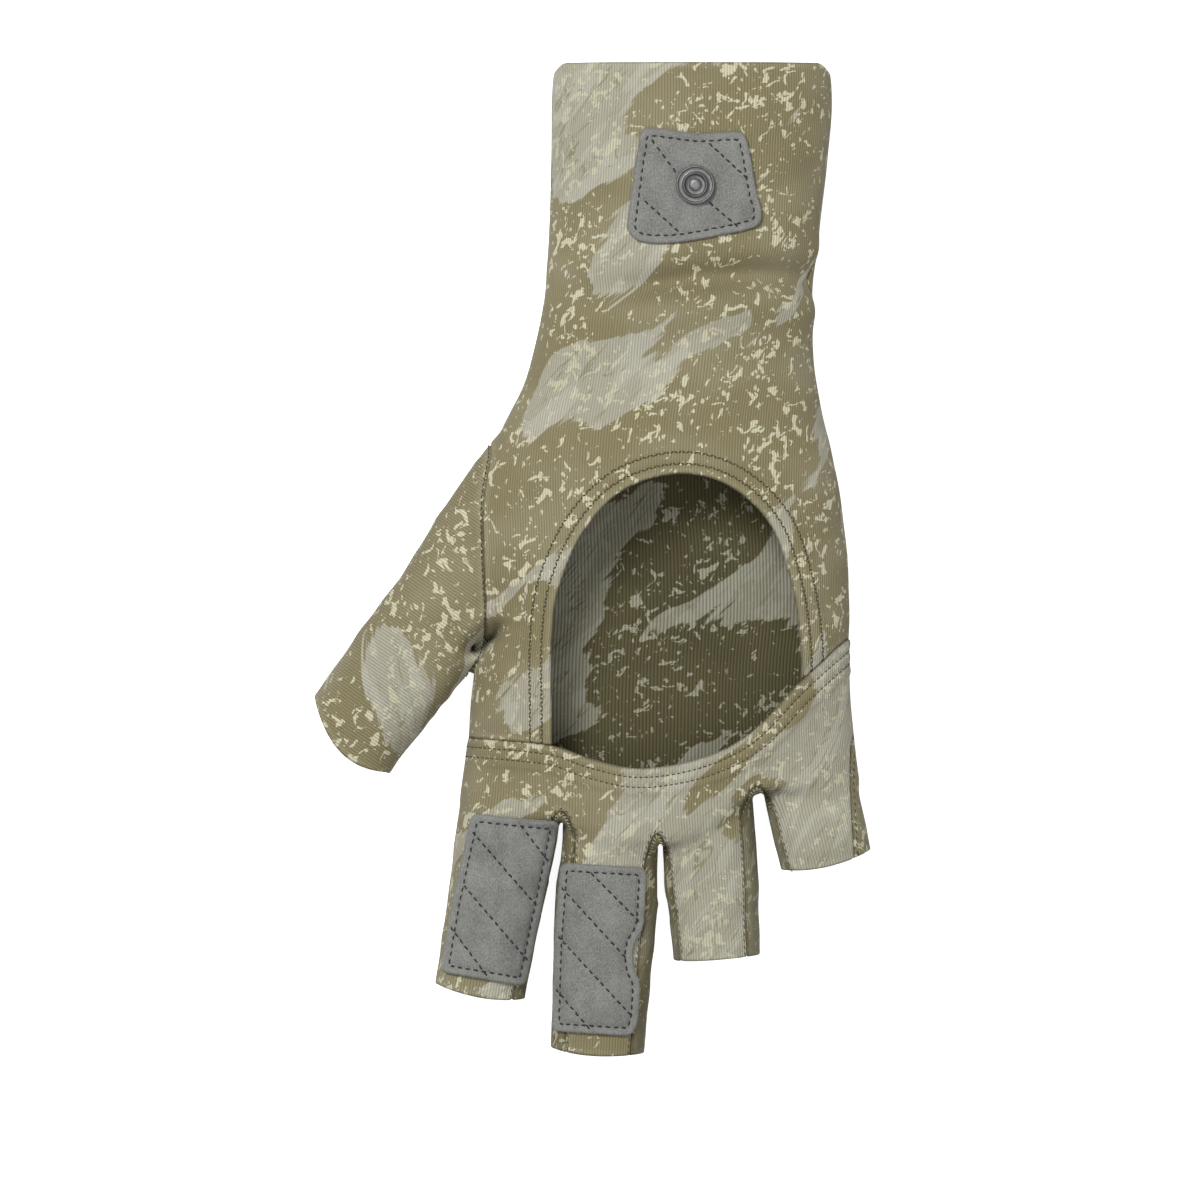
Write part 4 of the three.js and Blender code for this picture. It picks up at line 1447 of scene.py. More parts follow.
@dataclass(frozen=True)
class Thread(Finish):
    """Twisted sewing thread."""

    colour: Colour

    def build(self) -> bpy.types.Material:
        """Builds the thread.

        Returns:
            The material.
        """
        material, g, shader = self.begin()
        place = g.node("ShaderNodeTexCoord", {}).outputs["Object"]
        twist = g.noise(g.moved(place, (1600, 1600, 1600)), 1.0, 2)
        light = (*(v * 1.5 for v in self.colour[:3]), 1.0)
        colour = g.mix(g.step(twist.outputs[0], 0.3, 0.7), self.colour, light)
        g.feed(shader, {"Base Color": colour, "Roughness": 0.7, "Specular IOR Level": 0.3})
        return material


@dataclass(frozen=True)
class Plating(Finish):
    """Dark satin plating with fine turning marks and small scuffs."""

    colour: Colour = linear(130, 129, 129)
    scuffed: Colour = linear(112, 111, 111)

    def build(self) -> bpy.types.Material:
        """Builds the metal.

        Returns:
            The material.
        """
        material, g, shader = self.begin()
        place = g.node("ShaderNodeTexCoord", {}).outputs["Object"]
        scuff = g.noise(g.moved(place, (900, 900, 900)), 1.0, 4, 0.65)
        mark = scuff.outputs[0]
        dressing = {
            "Base Color": g.mix(g.step(mark, 0.4, 0.75), self.colour, self.scuffed),
            "Metallic": 0.75,
            "Roughness": g.math("MULTIPLY_ADD", mark, 0.2, 0.4),
            "Normal": g.relief(mark, 0.01, 0.3),
        }
        g.feed(shader, dressing)
        return material


@dataclass(frozen=True)
class Backdrop(Finish):
    """The plain pale surface that the glove lies on."""

    glow: float = 0.9

    def build(self) -> bpy.types.Material:
        """Builds the matt white surface, which looks evenly lit to the camera.

        Returns:
            The material.
        """
        material, g, shader = self.begin()
        seen = g.node("ShaderNodeLightPath", {}).outputs["Is Camera Ray"]
        dressing = {
            "Base Color": (0.9, 0.9, 0.9, 1.0),
            "Roughness": 0.95,
            "Emission Color": WHITE,
            "Emission Strength": g.math("MULTIPLY", seen, self.glow),
        }
        g.feed(shader, dressing)
        return material


@dataclass
class Finishes:
    """Every material, built once."""

    outside: bpy.types.Material
    side: bpy.types.Material
    inside: bpy.types.Material
    suede: bpy.types.Material
    grey_thread: bpy.types.Material
    olive_thread: bpy.types.Material
    pale_thread: bpy.types.Material
    plating: bpy.types.Material
    surface: bpy.types.Material

    @classmethod
    def make(cls) -> "Finishes":
        """Builds all the finishes."""
        # Darker colours than the outer knit for every inner face: partly the inner face's own
        # duller print, partly painted shade for the inside of the glove seen through the window.
        inner = Knit(
            "knit_inside",
            olive=linear(100, 94, 64),
            brown=linear(92, 86, 59),
            taupe=linear(158, 155, 135),
            mist=linear(168, 166, 148),
            cream=linear(172, 169, 146),
            groove_shade=0.5,
            pitch=0.86,
            rib_depth=0.16,
            shift=(12, -121, 0),
        )
        # A darker copy of the printed knit for the side cloth between the fingers: its darkness is
        # painted shade, as that cloth faces sideways and runs down into the crotches.
        side = Knit(
            "knit_side",
            olive=linear(122, 113, 79),
            brown=linear(112, 103, 72),
            taupe=linear(136, 129, 101),
            mist=linear(143, 137, 110),
            cream=linear(196, 191, 158),
        )
        return cls(
            Knit("knit_printed").build(),
            side.build(),
            inner.build(),
            Suede("suede_grey").build(),
            Thread("thread_slate", linear(42, 47, 49)).build(),
            Thread("thread_olive", linear(72, 66, 45)).build(),
            Thread("thread_pale", linear(176, 172, 146)).build(),
            Plating("plating_dark").build(),
            Backdrop("surface_pale").build(),
        )


# Thread


# One stitch: the share of its length, its girth, and how many radii it stands over the cloth.
STITCH_SHAPE = np.array(
    [
        (-0.5, 0.3, -1.5),
        (-0.42, 0.8, -0.7),
        (-0.2, 1.0, 0.35),
        (0.2, 1.0, 0.35),
        (0.42, 0.8, -0.7),
        (0.5, 0.3, -1.5),
    ]
)
THREAD_SIDES = 6
STITCH_LIFT = 0.02
STITCH_AIM = 0.6


def band_faces(rings: int, sides: int) -> list[tuple[int, int, int]]:
    """The triangles between rings of points that follow each other."""
    faces = []
    for k in range(rings - 1):
        for i in range(sides):
            a, b = k * sides + i, k * sides + (i + 1) % sides
            faces += [(a, b, a + sides), (b, b + sides, a + sides)]
    return faces


@dataclass(frozen=True)
class Stitching:
    """A row of separate stitches along a line."""

    pitch: float
    length: float
    radius: float
    slant: float = 0.0
    alternate: bool = False
    offset: float = 0.0
    start: float = 0.5

    def row(self, line: Array, normals: Array) -> tuple[Array, Array]:
        """Lays the stitches.

        Args:
            line: the points that the row follows.
            normals: the surface's direction at them.

        Returns:
            The row's points and triangles.
        """
        along = np.concatenate([[0], np.cumsum(np.linalg.norm(np.diff(line, axis=0), axis=1))])
        count = max(round(along[-1] / self.pitch), 1)
        at = (np.arange(count) + self.start) * along[-1] / count

        def sample(columns: Array, where: Array) -> Array:
            """The columns' values at distances along the line."""
            return np.stack([np.interp(where, along, columns[:, k]) for k in range(3)], axis=1)

        up = sample(normals, at)
        up /= np.linalg.norm(up, axis=1, keepdims=True)
        ahead = sample(line, at + STITCH_AIM) - sample(line, at - STITCH_AIM)
        ahead /= np.maximum(np.linalg.norm(ahead, axis=1, keepdims=True), 1e-6)
        sideways = np.cross(up, ahead)
        flip = np.where(np.arange(count) % 2, 1, -1) if self.alternate else np.ones(count)
        turn = np.radians(self.slant) * flip
        dash = ahead * np.cos(turn)[:, None] + sideways * np.sin(turn)[:, None]
        cross = np.cross(up, dash)
        middle = sample(line, at) + sideways * self.offset
        share, girth, stand = STITCH_SHAPE.T[:, None, :, None, None]
        turns = np.arange(THREAD_SIDES) * 2 * math.pi / THREAD_SIDES
        middle, dash, up, cross = (a[:, None, None] for a in (middle, dash, up, cross))
        ring = cross * np.cos(turns)[:, None] + up * np.sin(turns)[:, None]
        points = middle + dash * share * self.length + up * (stand * self.radius + STITCH_LIFT)
        points = points + self.radius * girth * ring
        rings, sides = len(STITCH_SHAPE), THREAD_SIDES
        faces = band_faces(rings, sides)
        last = (rings - 1) * sides
        for i in range(1, sides - 1):
            faces += [(0, i + 1, i), (last, last + i, last + i + 1)]
        first = np.arange(count) * rings * sides
        all_faces = (np.array(faces)[None] + first[:, None, None]).reshape(-1, 3)
        return points.reshape(-1, 3), all_faces


def lay_thread(
    name: str, rows: list[tuple[Array, Array]], material: bpy.types.Material
) -> None:
    """Args:
        name: the piece's name.
        rows: the points and triangles of each row.
        material: the thread.
    """
    points, faces, count = [], [], 0
    for row_points, row_faces in rows:
        points.append(row_points)
        faces.append(row_faces + count)
        count += len(row_points)
    all_points = np.concatenate(points)
    all_points[:, 2] = np.maximum(all_points[:, 2], LOWEST_THREAD)
    thread = Surface.plain(all_points, np.concatenate(faces)).to_object(name, [material])
    declare(thread)


# Panels


@dataclass
class Panel:
    """A cloth panel of the shell, with its hems and rows of stitches."""

    shell: Shell
    finishes: Finishes
    name: str
    grain: Grain
    print_shift: tuple[float, float]
    slot: str = "camo_fabric"
    rests_on: tuple[str, ...] = ()

    def inside(self, v: dict[str, Array]) -> Array:
        """How far points lie beyond the panel's edges, negative on the panel."""
        raise NotImplementedError

    def relief(self, v: dict[str, Array], p: Array) -> tuple[Array, Array]:
        """How far the cloth stands proud, and how much thicker its folds are inside."""
        return np.zeros(len(p)), np.zeros(len(p))

    def slices(self) -> list[tuple[str, float]]:
        """The seam distances along which the panel needs points of its own."""
        return []

    def stitches(self, skin: Skin) -> list[tuple[Array, Array]]:
        """The panel's rows of stitches."""
        return []

    def skin(self) -> Skin:
        """Cuts the panel out of the shell.

        Returns:
            The panel's skin, with points of its own along its hems.
        """
        whole = self.shell.skin
        skin = whole.cut(self.inside(whole.values), -1)
        for level in RIM_LEVELS:
            skin = skin.cut(self.inside(skin.values) + level)
        for name, level in self.slices():
            skin = skin.cut(skin.values[name] - level)
        return skin

    def sew(self, skin: Skin) -> None:
        """Lays the panel's stitches on its finished skin."""
        rows = self.stitches(skin)
        if rows:
            lay_thread(f"{self.name}_thread", rows, self.finishes.olive_thread)

    def build(self) -> None:
        skin = self.skin()
        beyond = self.inside(skin.values)
        proud, fold = self.relief(skin.values, skin.points)
        grain = (f"{self.grain.value}_u", f"{self.grain.value}_v")
        cloth = thicken(skin, np.maximum(-beyond, 0), HAND.fabric, proud, fold, grain)
        cloth.cloth = cloth.cloth + np.array(self.print_shift)
        outside = self.finishes.side if self.slot == "side_fabric" else self.finishes.outside
        piece = cloth.to_object(self.name, [outside, self.finishes.inside])
        declare(piece, self.name.removesuffix("_cloth"))
        width, length = (float(np.ptp(skin.values[name])) for name in grain)
        area = min(skin.area(), width * length)
        skin.points = skin.points + skin.normals * proud[:, None]
        self.sew(skin)
        size = (len(cloth.faces), width, length, area)
        log.info("%s: %d triangles, cut from %.0f by %.0f mm, %.0f mm2", self.name, *size)


HEM_ROWS = (2.25, 4.75)
WINDOW_ROWS = (2.5, 5.4)
CUFF_HEM = 9.4
FOLD_THICKNESS = 0.8
SHORTEST_ROW = 8
SHORTEST_SEAM = 12


def folded(distance: Array, depth: float) -> Array:
    """The thickness that a hem adds inside, from its edge to its depth."""
    return FOLD_THICKNESS * (1 - rise(distance, depth, depth + 0.8))


def nearest_gusset(v: dict[str, Array]) -> Array:
    """How far points are from the nearest gusset."""
    return np.minimum.reduce([v[f"gusset{k}"] for k in range(3)])


def hem_relief(distance: Array, depth: float, rows: tuple[float, ...]) -> Array:
    """The shape of a folded hem: a raised band, pulled down along its stitch rows.

    Args:
        distance: how far points are from the hem's edge.
        depth: the hem's depth.
        rows: the distances of its stitch rows.

    Returns:
        How far the cloth stands proud.
    """
    band = 0.42 * (1 - rise(distance, depth - 0.9, depth + 0.5))
    for row in rows:
        band = band - 0.3 * bump(distance - row, 0.5)
    return band


class PalmPanel(Panel):
    """The palm panel with the hemmed window."""

    def inside(self, v: dict[str, Array]) -> Array:
        """How far points lie beyond the palm panel's edges."""
        edges = [-v["back"], -v["fingers"], -v["thumb"], -v["window"], v["cuff"], -v["hole"]]
        return np.maximum.reduce(edges)

    def relief(self, v: dict[str, Array], p: Array) -> tuple[Array, Array]:
        """The window's hem, the pull along the knuckle seam and the cuff's fold."""
        window = v["window"]
        pull = 0.25 * bump(v["fingers"], 1.6) * (window > 0.5)
        pucker = 0.07 * np.sin(p[:, 1] * 1.4) * bump(window - 7, 3)
        proud = hem_relief(window, 6.6, WINDOW_ROWS) - pull + pucker
        fold = folded(window, 6) + folded(-v["cuff"], CUFF_HEM)
        return proud * rise(p[:, 2], 10.5, 13), np.clip(fold, 0, 0.9)

    def slices(self) -> list[tuple[str, float]]:
        """Points along the window's stitch rows and the hem's end."""
        return [("window", d) for d in (1.2, 2.0, 2.5, 3.0, 4.9, 5.4, 5.9, 6.6)]

    def stitches(self, skin: Skin) -> list[tuple[Array, Array]]:
        """The two rows of coverstitch round the window."""
        rows = []
        for level, slant in zip(WINDOW_ROWS, (36, -36)):
            dash = Stitching(pitch=1.0, length=1.3, radius=0.2, slant=slant, alternate=True)
            for line in skin.lines(skin.values["window"] - level)[:1]:
                rows.append(dash.row(*line))
        return rows


class FingerPanel(Panel):
    """The panel over the fingers, with its hem along the knuckle seam."""

    def inside(self, v: dict[str, Array]) -> Array:
        """How far points lie beyond the finger panel's edges."""
        edges = [-v["back"], v["fingers"], -nearest_gusset(v), -v["thumb"], v["mouths"]]
        return np.maximum.reduce(edges)

    def relief(self, v: dict[str, Array], p: Array) -> tuple[Array, Array]:
        """The hem under the knuckle seam and the small puckers beside it."""
        depth = -v["fingers"]
        pucker = np.sin(p[:, 0] * 1.25 + 0.6 * np.sin(p[:, 0] * 0.31)) * bump(depth - 9, 3.5)
        tuck = np.sin(p[:, 1] * 1.9) * bump(nearest_gusset(v) - 1.2, 1.6)
        proud = hem_relief(depth, 7.0, HEM_ROWS) + 0.1 * pucker + 0.1 * tuck
        return proud * rise(p[:, 2], 10.5, 12.5), folded(depth, 6.8)

    def slices(self) -> list[tuple[str, float]]:
        """Points along the hem's stitch rows and its end."""
        return [("fingers", -d) for d in (1.2, 1.8, 2.25, 2.7, 4.3, 4.75, 5.2, 6.4, 7.2)]

    def stitches(self, skin: Skin) -> list[tuple[Array, Array]]:
        """The twin rows along the hem, and the row along each gusset."""
        rows = []
        for level in HEM_ROWS:
            for line in skin.lines(skin.values["fingers"] + level)[:1]:
                rows.append(Stitching(pitch=1.35, length=1.1, radius=0.15).row(*line))
        dash = Stitching(pitch=1.7, length=1.15, radius=0.12, slant=22)
        for line in skin.lines(nearest_gusset(skin.values) - 0.7):
            if len(line[0]) > SHORTEST_SEAM:
                rows.append(dash.row(*line))
        return rows


class BackPanel(Panel):
    """The back panel, which lies underneath and shows its inside through the window."""

    def inside(self, v: dict[str, Array]) -> Array:
        """How far points lie beyond the back panel's edges."""
        edges = [v["back"], -v["thumb"], -nearest_gusset(v), v["mouths"], v["cuff"]]
        return np.maximum.reduce(edges)

    def relief(self, v: dict[str, Array], p: Array) -> tuple[Array, Array]:
        """The cuff's fold."""
        return np.zeros(len(p)), folded(-v["cuff"], CUFF_HEM)

    def stitches(self, skin: Skin) -> list[tuple[Array, Array]]:
        """The row beside the seam on the little finger's outer side."""
        rows = []
        dash = Stitching(pitch=1.7, length=1.2, radius=0.14, slant=24)
        for line, normals in skin.lines(skin.values["back"] + 0.7):
            strip = (line[:, 0] > 40) & (line[:, 1] < -113) & (line[:, 2] > 11)
            if strip.sum() > SHORTEST_ROW:
                rows.append(dash.row(line[strip], normals[strip]))
        return rows


class ThumbSleeve(Panel):
    """The thumb sleeve."""

    def inside(self, v: dict[str, Array]) -> Array:
        """How far points lie beyond the sleeve's edges."""
        return np.maximum.reduce([v["thumb"], v["thumb_mouth"], -v["hole"]])

    def relief(self, v: dict[str, Array], p: Array) -> tuple[Array, Array]:
        """The slight pull beside the seam that sets the sleeve in."""
        depth = -v["thumb"]
        proud = -0.2 * bump(depth, 1.5) + 0.1 * np.sin(p[:, 1] * 1.5) * bump(depth - 2, 2)
        return proud * rise(p[:, 2], 3, 6), np.zeros(len(p))

    def stitches(self, skin: Skin) -> list[tuple[Array, Array]]:
        """The dark row along the seam that sets the sleeve in."""
        rows = []
        dash = Stitching(pitch=1.55, length=1.15, radius=0.15, slant=8, alternate=True)
        for line in skin.lines(skin.values["thumb"] + 0.45):
            if len(line[0]) > SHORTEST_SEAM:
                rows.append(dash.row(*line))
        return rows


@dataclass
class Gusset(Panel):
    """The side cloth in one gap between fingers."""

    number: int = 0

    def inside(self, v: dict[str, Array]) -> Array:
        """How far points lie beyond the gusset's edges."""
        return np.maximum.reduce([v[f"gusset{self.number}"], v["mouths"], v["fingers"]])

    def stitches(self, skin: Skin) -> list[tuple[Array, Array]]:
        """The dark overlock stitches round the arch at the crotch."""
        return self.arch(skin, Stitching(pitch=0.95, length=1.0, radius=0.11, slant=66))

    def arch(self, skin: Skin, dash: Stitching) -> list[tuple[Array, Array]]:
        """A row of stitches round the arch.

        Args:
            skin: the gusset's skin.
            dash: the stitches.

        Returns:
            The row, where the arch has one.
        """
        rows = []
        for line, normals in skin.lines(skin.values[f"gusset{self.number}"] + 0.35):
            top = (line[:, 1] > line[:, 1].max() - 5.5) & (line[:, 2] > 8)
            if top.sum() > SHORTEST_ROW:
                rows.append(dash.row(line[top], normals[top]))
        return rows

    def sew(self, skin: Skin) -> None:
        """Lays the dark stitches, and the pale ones between them."""
        super().sew(skin)
        dash = Stitching(pitch=0.95, length=0.95, radius=0.12, slant=58, offset=-0.25, start=0.0)
        rows = self.arch(skin, dash)
        lay_thread(f"{self.name}_overlock", rows, self.finishes.pale_thread)


# Suede


def rounded_outline(corners: Array, radius: float) -> Array:
    """A closed outline of straight edges with rounded corners.

    Args:
        corners: the corners in order.
        radius: how far from each corner the rounding starts.

    Returns:
        The outline's points.
    """
    corners = np.asarray(corners, float)
    points = []
    for before, here, after in zip(np.roll(corners, 1, 0), corners, np.roll(corners, -1, 0)):
        a, b = before - here, after - here
        start = here + a * min(radius / np.linalg.norm(a), 0.48)
        end = here + b * min(radius / np.linalg.norm(b), 0.48)
        points.append(corner_curve(start, here, end, 7))
    return np.concatenate(points)


@dataclass
class SuedePiece:
    """A piece of suede laid on the glove, with rows of stitches round it and across it."""

    finishes: Finishes
    name: str
    outline: Array
    quilting: list[tuple[Point, Point]]
    rests_on: str
    form: GloveForm
    thickness: float = 1.05
    gap: float = 0.2
    margin: float = 2.0
    step: float = 0.55
    snap_clearance: float = 5.2
    edge_clearance: float = 0.8

    def quilt_lines(self, p: Array) -> list[tuple[Array, Array]]:
        """How far points are from each quilting line, and where along it they are."""
        found = []
        for start, end in self.quilting:
            a, b = np.array(start), np.array(end)
            way = (b - a) / np.linalg.norm(b - a)
            rel = p[:, :2] - a
            found.append((rel @ np.array([-way[1], way[0]]), rel @ way / np.linalg.norm(b - a)))
        return found

    def relief(self, p: Array, edge: Array) -> Array:
        """The soft padded surface between the rows of stitches.

        Args:
            p: points on the suede.
            edge: their distance from its edge.

        Returns:
            How far each stands proud.
        """
        near = np.abs(edge - self.margin)
        for off, share in self.quilt_lines(p):
            past = np.maximum(np.maximum(-share, share - 1), 0) * 30
            near = np.minimum(near, np.hypot(off, past))
        pillow = 0.4 * (1 - bump(near, 2.6)) * rise(edge, 0.5, 3)
        grain = 0.05 * np.sin(p[:, 0] * 1.7 + p[:, 1]) * np.sin(p[:, 1] * 1.3 - p[:, 0] * 0.6)
        return pillow - 0.34 * bump(near, 0.62) + grain

    def build(self) -> None:
        form = self.form
        level = self.gap + self.thickness
        low = np.append(self.outline.min(0) - 2, HAND.side_seam - 1)
        high = np.append(self.outline.max(0) + 2, 30)
        skin = net(lambda p: form.distance(p) - level, low, high, self.step)
        skin.points = form.settle(skin.points, level)
        skin.normals = form.normal(skin.points)
        p = skin.points
        skin.values = {"outline": outline_distance(p, self.outline), "u": p[:, 0], "v": p[:, 1]}

        def beyond(s: Skin) -> Array:
            """How far the skin's points lie beyond the suede's edge."""
            return np.maximum(s.values["outline"], HAND.side_seam + 0.3 - s.points[:, 2])

        skin = skin.cut(beyond(skin), -1)
        margins = (self.margin - 0.3, self.margin, self.margin + 0.3)
        for depth in (*SUEDE_RIM_LEVELS, *margins):
            skin = skin.cut(beyond(skin) + depth)
        for number in range(len(self.quilting)):
            skin = skin.cut(self.quilt_lines(skin.points)[number][0])
        edge = np.maximum(-beyond(skin), 0)
        proud = self.relief(skin.points, edge)
        flat = np.zeros(len(edge))
        cloth = thicken(skin, edge, self.thickness, proud, flat, ("u", "v"))
        piece = cloth.to_object(f"{self.name}_suede", [self.finishes.suede, self.finishes.suede])
        declare(piece, self.name)
        skin.points = skin.points + skin.normals * proud[:, None]
        self.sew(skin)
        log.info("%s: %d triangles, %.0f mm2", self.name, len(cloth.faces), skin.area())

    def sew(self, skin: Skin) -> None:
        """Lays the stitches round the edge and along the quilting lines."""
        rows = []
        dash = Stitching(pitch=2.05, length=1.5, radius=0.22, slant=6, alternate=True)
        for line in skin.lines(skin.values["outline"] + self.margin)[:1]:
            rows.append(dash.row(*(np.concatenate([a, a[:1]]) for a in line)))
        level = self.gap + self.thickness - 0.3
        for start, end in self.quilting:
            plan = np.linspace(start, end, 60)
            clear = outline_distance(plan, self.outline) < -self.edge_clearance
            clear &= np.linalg.norm(plan - SNAP_PLACE, axis=1) > self.snap_clearance
            rows.append(dash.row(*self.form.drape(plan[clear], level)))
        lay_thread(f"{self.name}_thread", rows, self.finishes.grey_thread)


SNAP_PLACE = np.array([0.0837 * HAND.knuckle_width, 0.4806 * HAND.cuff_length])
INDEX_PAD = [(0.0, -0.385), (-0.035, 0.49), (0.5, 0.468), (1.0, 0.442), (1.0, -0.42)]
INDEX_PAD += [(0.58, -0.424)]
MIDDLE_PAD = [(0.0, -0.512), (0.0, 0.405), (0.36, 0.41), (0.47, 0.30), (0.6, 0.325)]
MIDDLE_PAD += [(0.67, 0.41), (0.9, 0.415), (1.0, 0.36), (1.0, -0.495), (0.5, -0.525)]
PATCH = [(-0.376, 0.498), (0.012, 0.454), (0.321, 0.467), (0.398, 0.373), (0.467, -0.05)]
PATCH += [(0.506, -0.246), (0.445, -0.373), (-0.027, -0.489), (-0.26, -0.512)]
PATCH += [(-0.429, -0.489), (-0.515, -0.39), (-0.506, -0.275), (-0.476, 0), (-0.436, 0.31)]
INDEX_QUILTING = [((-35.3, -130.9), (-27.9, -140.6)), ((-47.3, -132.6), (-31, -151.4))]
INDEX_QUILTING += [((-49.4, -146.0), (-33.3, -165.0)), ((-53.0, -156.0), (-42.1, -170.6))]
MIDDLE_QUILTING = [((-17.8, -142.8), (-5.3, -155.4)), ((-25.3, -146.3), (-8.6, -164.5))]
MIDDLE_QUILTING += [((-25.8, -158.8), (-7.3, -178.9)), ((-26.4, -172), (-16.6, -183.5))]
PATCH_QUILTING = [((-2.7, 40.2), (4.6, 30.4)), ((11.7, 24.4), (20.6, 16.8))]
PATCH_QUILTING += [((11.7, 39.1), (21.7, 29.9)), ((-4.4, 24.8), (4.6, 16.6))]


PATCH_SIZE = (33.0, 28.4)
PAD_CORNER = 2.3


def pad_outline(
    limb: Limb, width: float, rows: list[Point], start: float, length: float
) -> Array:
    """A finger pad's outline.

    Args:
        limb: the finger.
        width: the finger's width.
        rows: the corners, as shares of the pad's length and of that width.
        start: how far down the finger the pad starts.
        length: the pad's length.

    Returns:
        The outline's points in the plan.
    """
    corners = limb.plan(*(np.array(rows) * [length, width] + [start, 0]).T)
    return rounded_outline(corners, PAD_CORNER)


# Metal


@dataclass
class Turned:
    """A round metal piece turned from a profile."""

    name: str
    centre: Array
    profile: Array
    segments: int = 96

    def build(self, material: bpy.types.Material) -> bpy.types.Object:
        """Turns the profile round its axis.

        Args:
            material: the metal.

        Returns:
            The object.
        """
        turns = np.arange(self.segments) * 2 * math.pi / self.segments
        rows = []
        for r, z in self.profile[1:-1]:
            rows.append(np.stack([np.cos(turns) * r, np.sin(turns) * r, np.full(len(turns), z)], 1))
        ends = np.array([(0, 0, self.profile[0][1]), (0, 0, self.profile[-1][1])])
        points = np.concatenate([*rows, ends])
        points[:, :2] += self.centre
        n, count = self.segments, len(rows)
        top = (count - 1) * n
        faces = band_faces(count, n)
        for i in range(n):
            j = (i + 1) % n
            faces += [(count * n, j, i), (count * n + 1, top + i, top + j)]
        return Surface.plain(points, np.array(faces)).to_object(self.name, [material])


def softened(profile: list[Point], radius: float) -> Array:
    """Rounds a profile's corners.

    Args:
        profile: radius and height at each corner, from the axis and back to it.
        radius: the rounding.

    Returns:
        The rounded profile.
    """
    points = np.array(profile, float)
    curves = []
    for before, here, after in zip(points, points[1:], points[2:]):
        a, b = before - here, after - here
        la, lb = np.linalg.norm(a), np.linalg.norm(b)
        reach = min(radius, la * 0.45, lb * 0.45)
        curves.append(corner_curve(here + a / la * reach, here, here + b / lb * reach, 5))
    return np.concatenate([points[:1], *curves, points[-1:]])


@dataclass
class Snap:
    """The cuff's snap: a stud with a raised rim on the patch, and a disc inside the cuff."""

    finishes: Finishes
    radius: float = 4.85
    stud_radius: float = 3.05
    rivet_radius: float = 1.4
    stud_height: float = 1.9
    ring_thickness: float = 0.9

    def stud(self) -> Turned:
        """The ring on the patch with its rivet, its raised rim and the dome in its hollow."""
        low, high = (corner.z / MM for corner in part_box("snap_stud"))
        r, s, rivet = self.radius, self.stud_radius, self.rivet_radius
        ring = high - self.stud_height
        base = ring - self.ring_thickness
        profile = [(0, low), (rivet, low), (rivet, base), (r - 0.1, base), (r, base + 0.35)]
        profile += [(r, ring + 0.1), (r - 0.2, ring + 0.36), (r - 0.48, ring + 0.32)]
        profile += [(r - 0.62, ring - 0.02), (s + 0.55, ring - 0.1), (s + 0.1, ring + 0.1)]
        profile += [(s, high - 0.3), (s - 0.12, high), (s - 0.28, high - 0.03)]
        profile += [(s - 0.42, high - 0.4), (s - 0.5, ring - 0.1), (2.3, ring - 0.3)]
        profile += [(1.6, ring - 0.3), (1.45, ring - 0.05), (0.9, ring + 0.13), (0, ring + 0.17)]
        return Turned("snap_stud_metal", SNAP_PLACE, softened(profile, 0.16))

    def disc(self) -> Turned:
        """The disc behind the fabric."""
        low, high = (corner.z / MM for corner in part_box("snap_back"))
        r = self.radius
        profile = [(0, low), (r - 0.3, low), (r, low + 0.3), (r, high - 0.1), (r - 0.15, high)]
        return Turned("snap_back_metal", SNAP_PLACE, softened([*profile, (0, high)], 0.15))

    def build(self) -> None:
        """Builds, dresses and declares both pieces."""
        for turned, node in ((self.stud(), "snap_stud"), (self.disc(), "snap_back")):
            declare(turned.build(self.finishes.plating), node)
        log.info("snap: stud and disc")


# Studio


# The soft lights: name, place in metres, size and power.
LAMPS = (
    ("overhead", (-0.4, 0.55, 1.15), 0.45, 12.0),
    ("fill", (0.3, -0.35, 1.2), 0.9, 4.3),
)


@dataclass(frozen=True)
class Studio:
    """The pale surface, the soft light and the camera straight above the glove."""

    centre: tuple[float, float] = (0.0004, -0.00865)
    frame_width: float = 0.297
    height: float = 4.0
    mid_plane: float = 0.012
    sensor: float = 36.0
    floor_reach: float = 2.0
    sky: float = 0.21

    def floor(self, material: bpy.types.Material) -> None:
        """Lays the surface."""
        mesh = bpy.data.meshes.new("surface")
        r = self.floor_reach
        corners = [(-r, -r, 0), (r, -r, 0), (r, r, 0), (-r, r, 0)]
        mesh.from_pydata(corners, [], [(0, 1, 2, 3)])
        mesh.materials.append(material)
        piece = bpy.data.objects.new("surface", mesh)
        bpy.context.scene.collection.objects.link(piece)

    def light(self) -> None:
        """Lights the surface evenly, with a little more from the upper left."""
        world = bpy.data.worlds.new("studio")
        bpy.context.scene.world = world
        world.use_nodes = True
        background = world.node_tree.nodes["Background"]
        Graph(world.node_tree).feed(background, {"Color": WHITE, "Strength": self.sky})
        for name, place, size, power in LAMPS:
            data = bpy.data.lights.new(name, "AREA")
            data.size = size
            data.energy = power
            lamp = bpy.data.objects.new(name, data)
            lamp.location = place
            x, y, z = place
            lamp.rotation_euler = (math.acos(z / math.hypot(x, y, z)), 0, math.atan2(x, -y))
            bpy.context.scene.collection.objects.link(lamp)

    def camera(self) -> None:
        """Sets the camera straight above."""
        data = bpy.data.cameras.new("camera")
        data.sensor_width = self.sensor
        data.lens = self.sensor * (self.height - self.mid_plane) / self.frame_width
        camera = bpy.data.objects.new("camera", data)
        camera.location = (*self.centre, self.height)
        bpy.context.scene.collection.objects.link(camera)
        bpy.context.scene.camera = camera

    def build(self, material: bpy.types.Material) -> None:
        """Sets up the whole studio."""
        self.floor(material)
        self.light()
        self.camera()
        bpy.context.scene.view_settings.view_transform = "Standard"


# Assembly


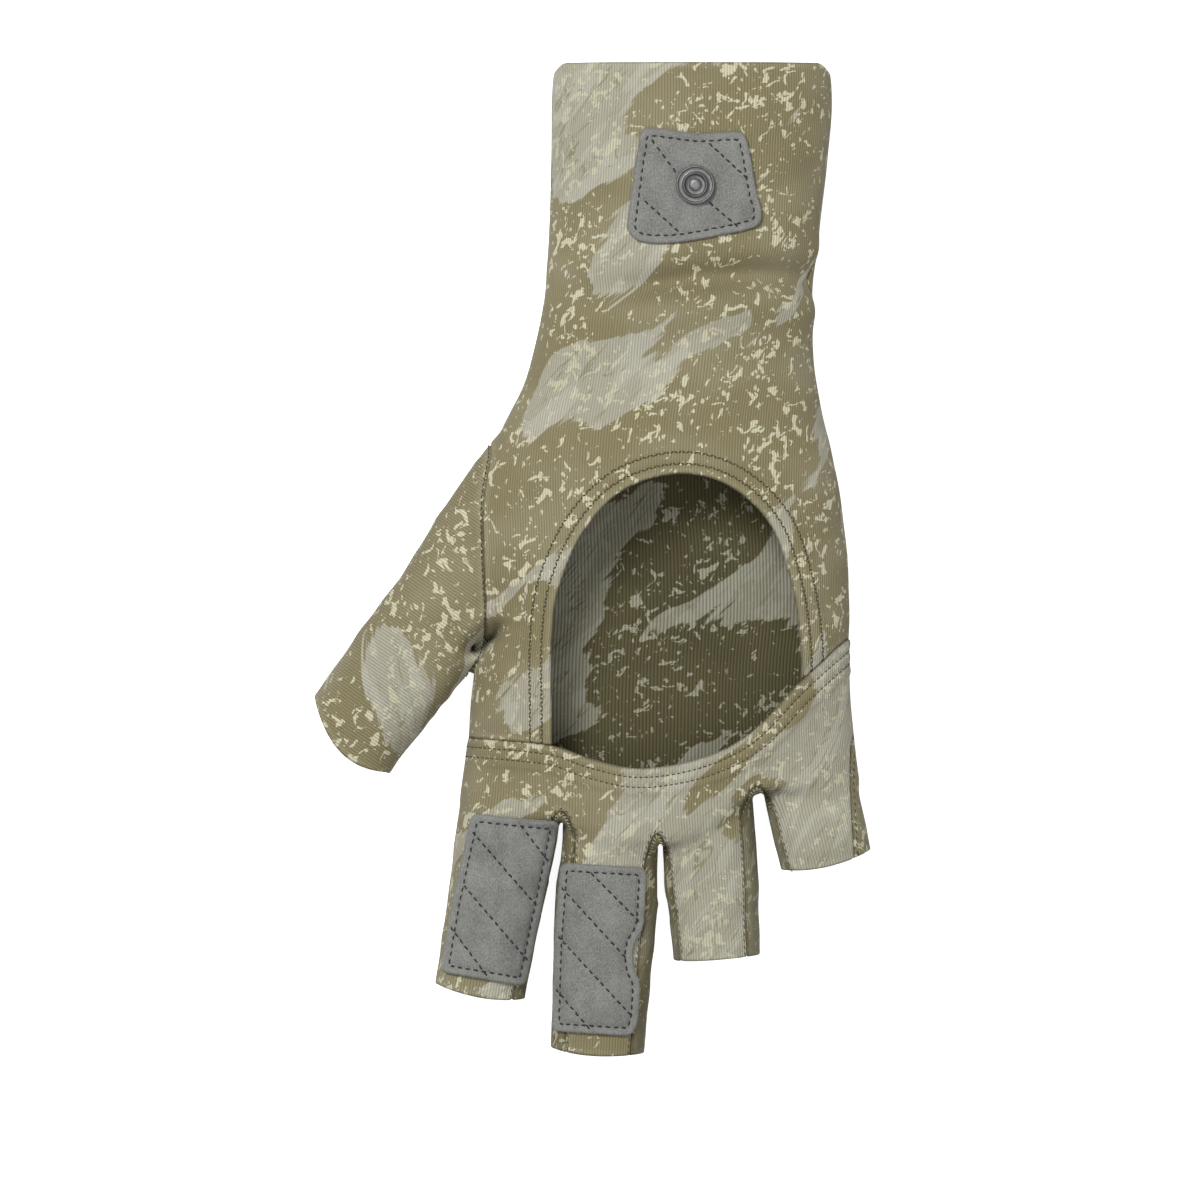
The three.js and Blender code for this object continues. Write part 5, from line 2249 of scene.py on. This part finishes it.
def suede_pieces(shell: Shell, finishes: Finishes) -> list[SuedePiece]:
    """The two finger pads and the cuff's patch.

    Args:
        shell: the glove's shell.
        finishes: the materials.

    Returns:
        The pieces, not yet built.
    """
    index, middle = shell.form.fingers[:2]
    index_pad = pad_outline(index, FINGERS[0].width, INDEX_PAD, start=-0.2, length=40.5)
    middle_pad = pad_outline(middle, FINGERS[1].width, MIDDLE_PAD, start=11.2, length=42.3)
    patch = through(SNAP_PLACE + np.array(PATCH) * PATCH_SIZE, 96, closed=True, tension=0.4)
    fingers, palm = "finger_panel_cloth", "palm_panel_cloth"
    # A pad is laid on its own finger alone, so that the next finger doesn't bend its edge.
    on_index, on_middle = GloveForm(fingers=[index]), GloveForm(fingers=[middle])
    return [
        SuedePiece(finishes, "index_pad", index_pad, INDEX_QUILTING, fingers, on_index),
        SuedePiece(finishes, "middle_pad", middle_pad, MIDDLE_QUILTING, fingers, on_middle),
        SuedePiece(finishes, "wrist_patch", patch, PATCH_QUILTING, palm, shell.form),
    ]


def main() -> None:
    """Builds the glove and its studio."""
    logging.basicConfig(level=logging.INFO, format="%(name)s: %(message)s")
    finishes = Finishes.make()
    shell = Shell.wrap(GloveForm(), STEP)
    log.info("shell: %d points", len(shell.skin.points))
    back = "back_panel_cloth"
    printed = {"slot": "camo_fabric", "rests_on": (back,)}
    side = {"slot": "side_fabric", "rests_on": (back,)}
    # Each panel's print is shifted, so that no two show the same part of it.
    panels: list[Panel] = [
        BackPanel(shell, finishes, back, Grain.BACK_SIDE, (140, 37)),
        PalmPanel(shell, finishes, "palm_panel_cloth", Grain.PALM_SIDE, (0, 0), **printed),
        FingerPanel(shell, finishes, "finger_panel_cloth", Grain.PALM_SIDE, (55, -23), **printed),
        ThumbSleeve(shell, finishes, "thumb_sleeve_cloth", Grain.THUMB, (-61, 12)),
    ]
    for number, name in enumerate(("index_middle", "middle_ring", "ring_little")):
        title = f"gusset_{name}_cloth"
        shift = (200 + 30 * number, 60)
        panels.append(Gusset(shell, finishes, title, Grain.PALM_SIDE, shift, **side, number=number))
    for panel in panels:
        panel.build()
    for piece in suede_pieces(shell, finishes):
        piece.build()
    Snap(finishes).build()
    Studio().build(finishes.surface)


if __name__ == "__main__":
    main()
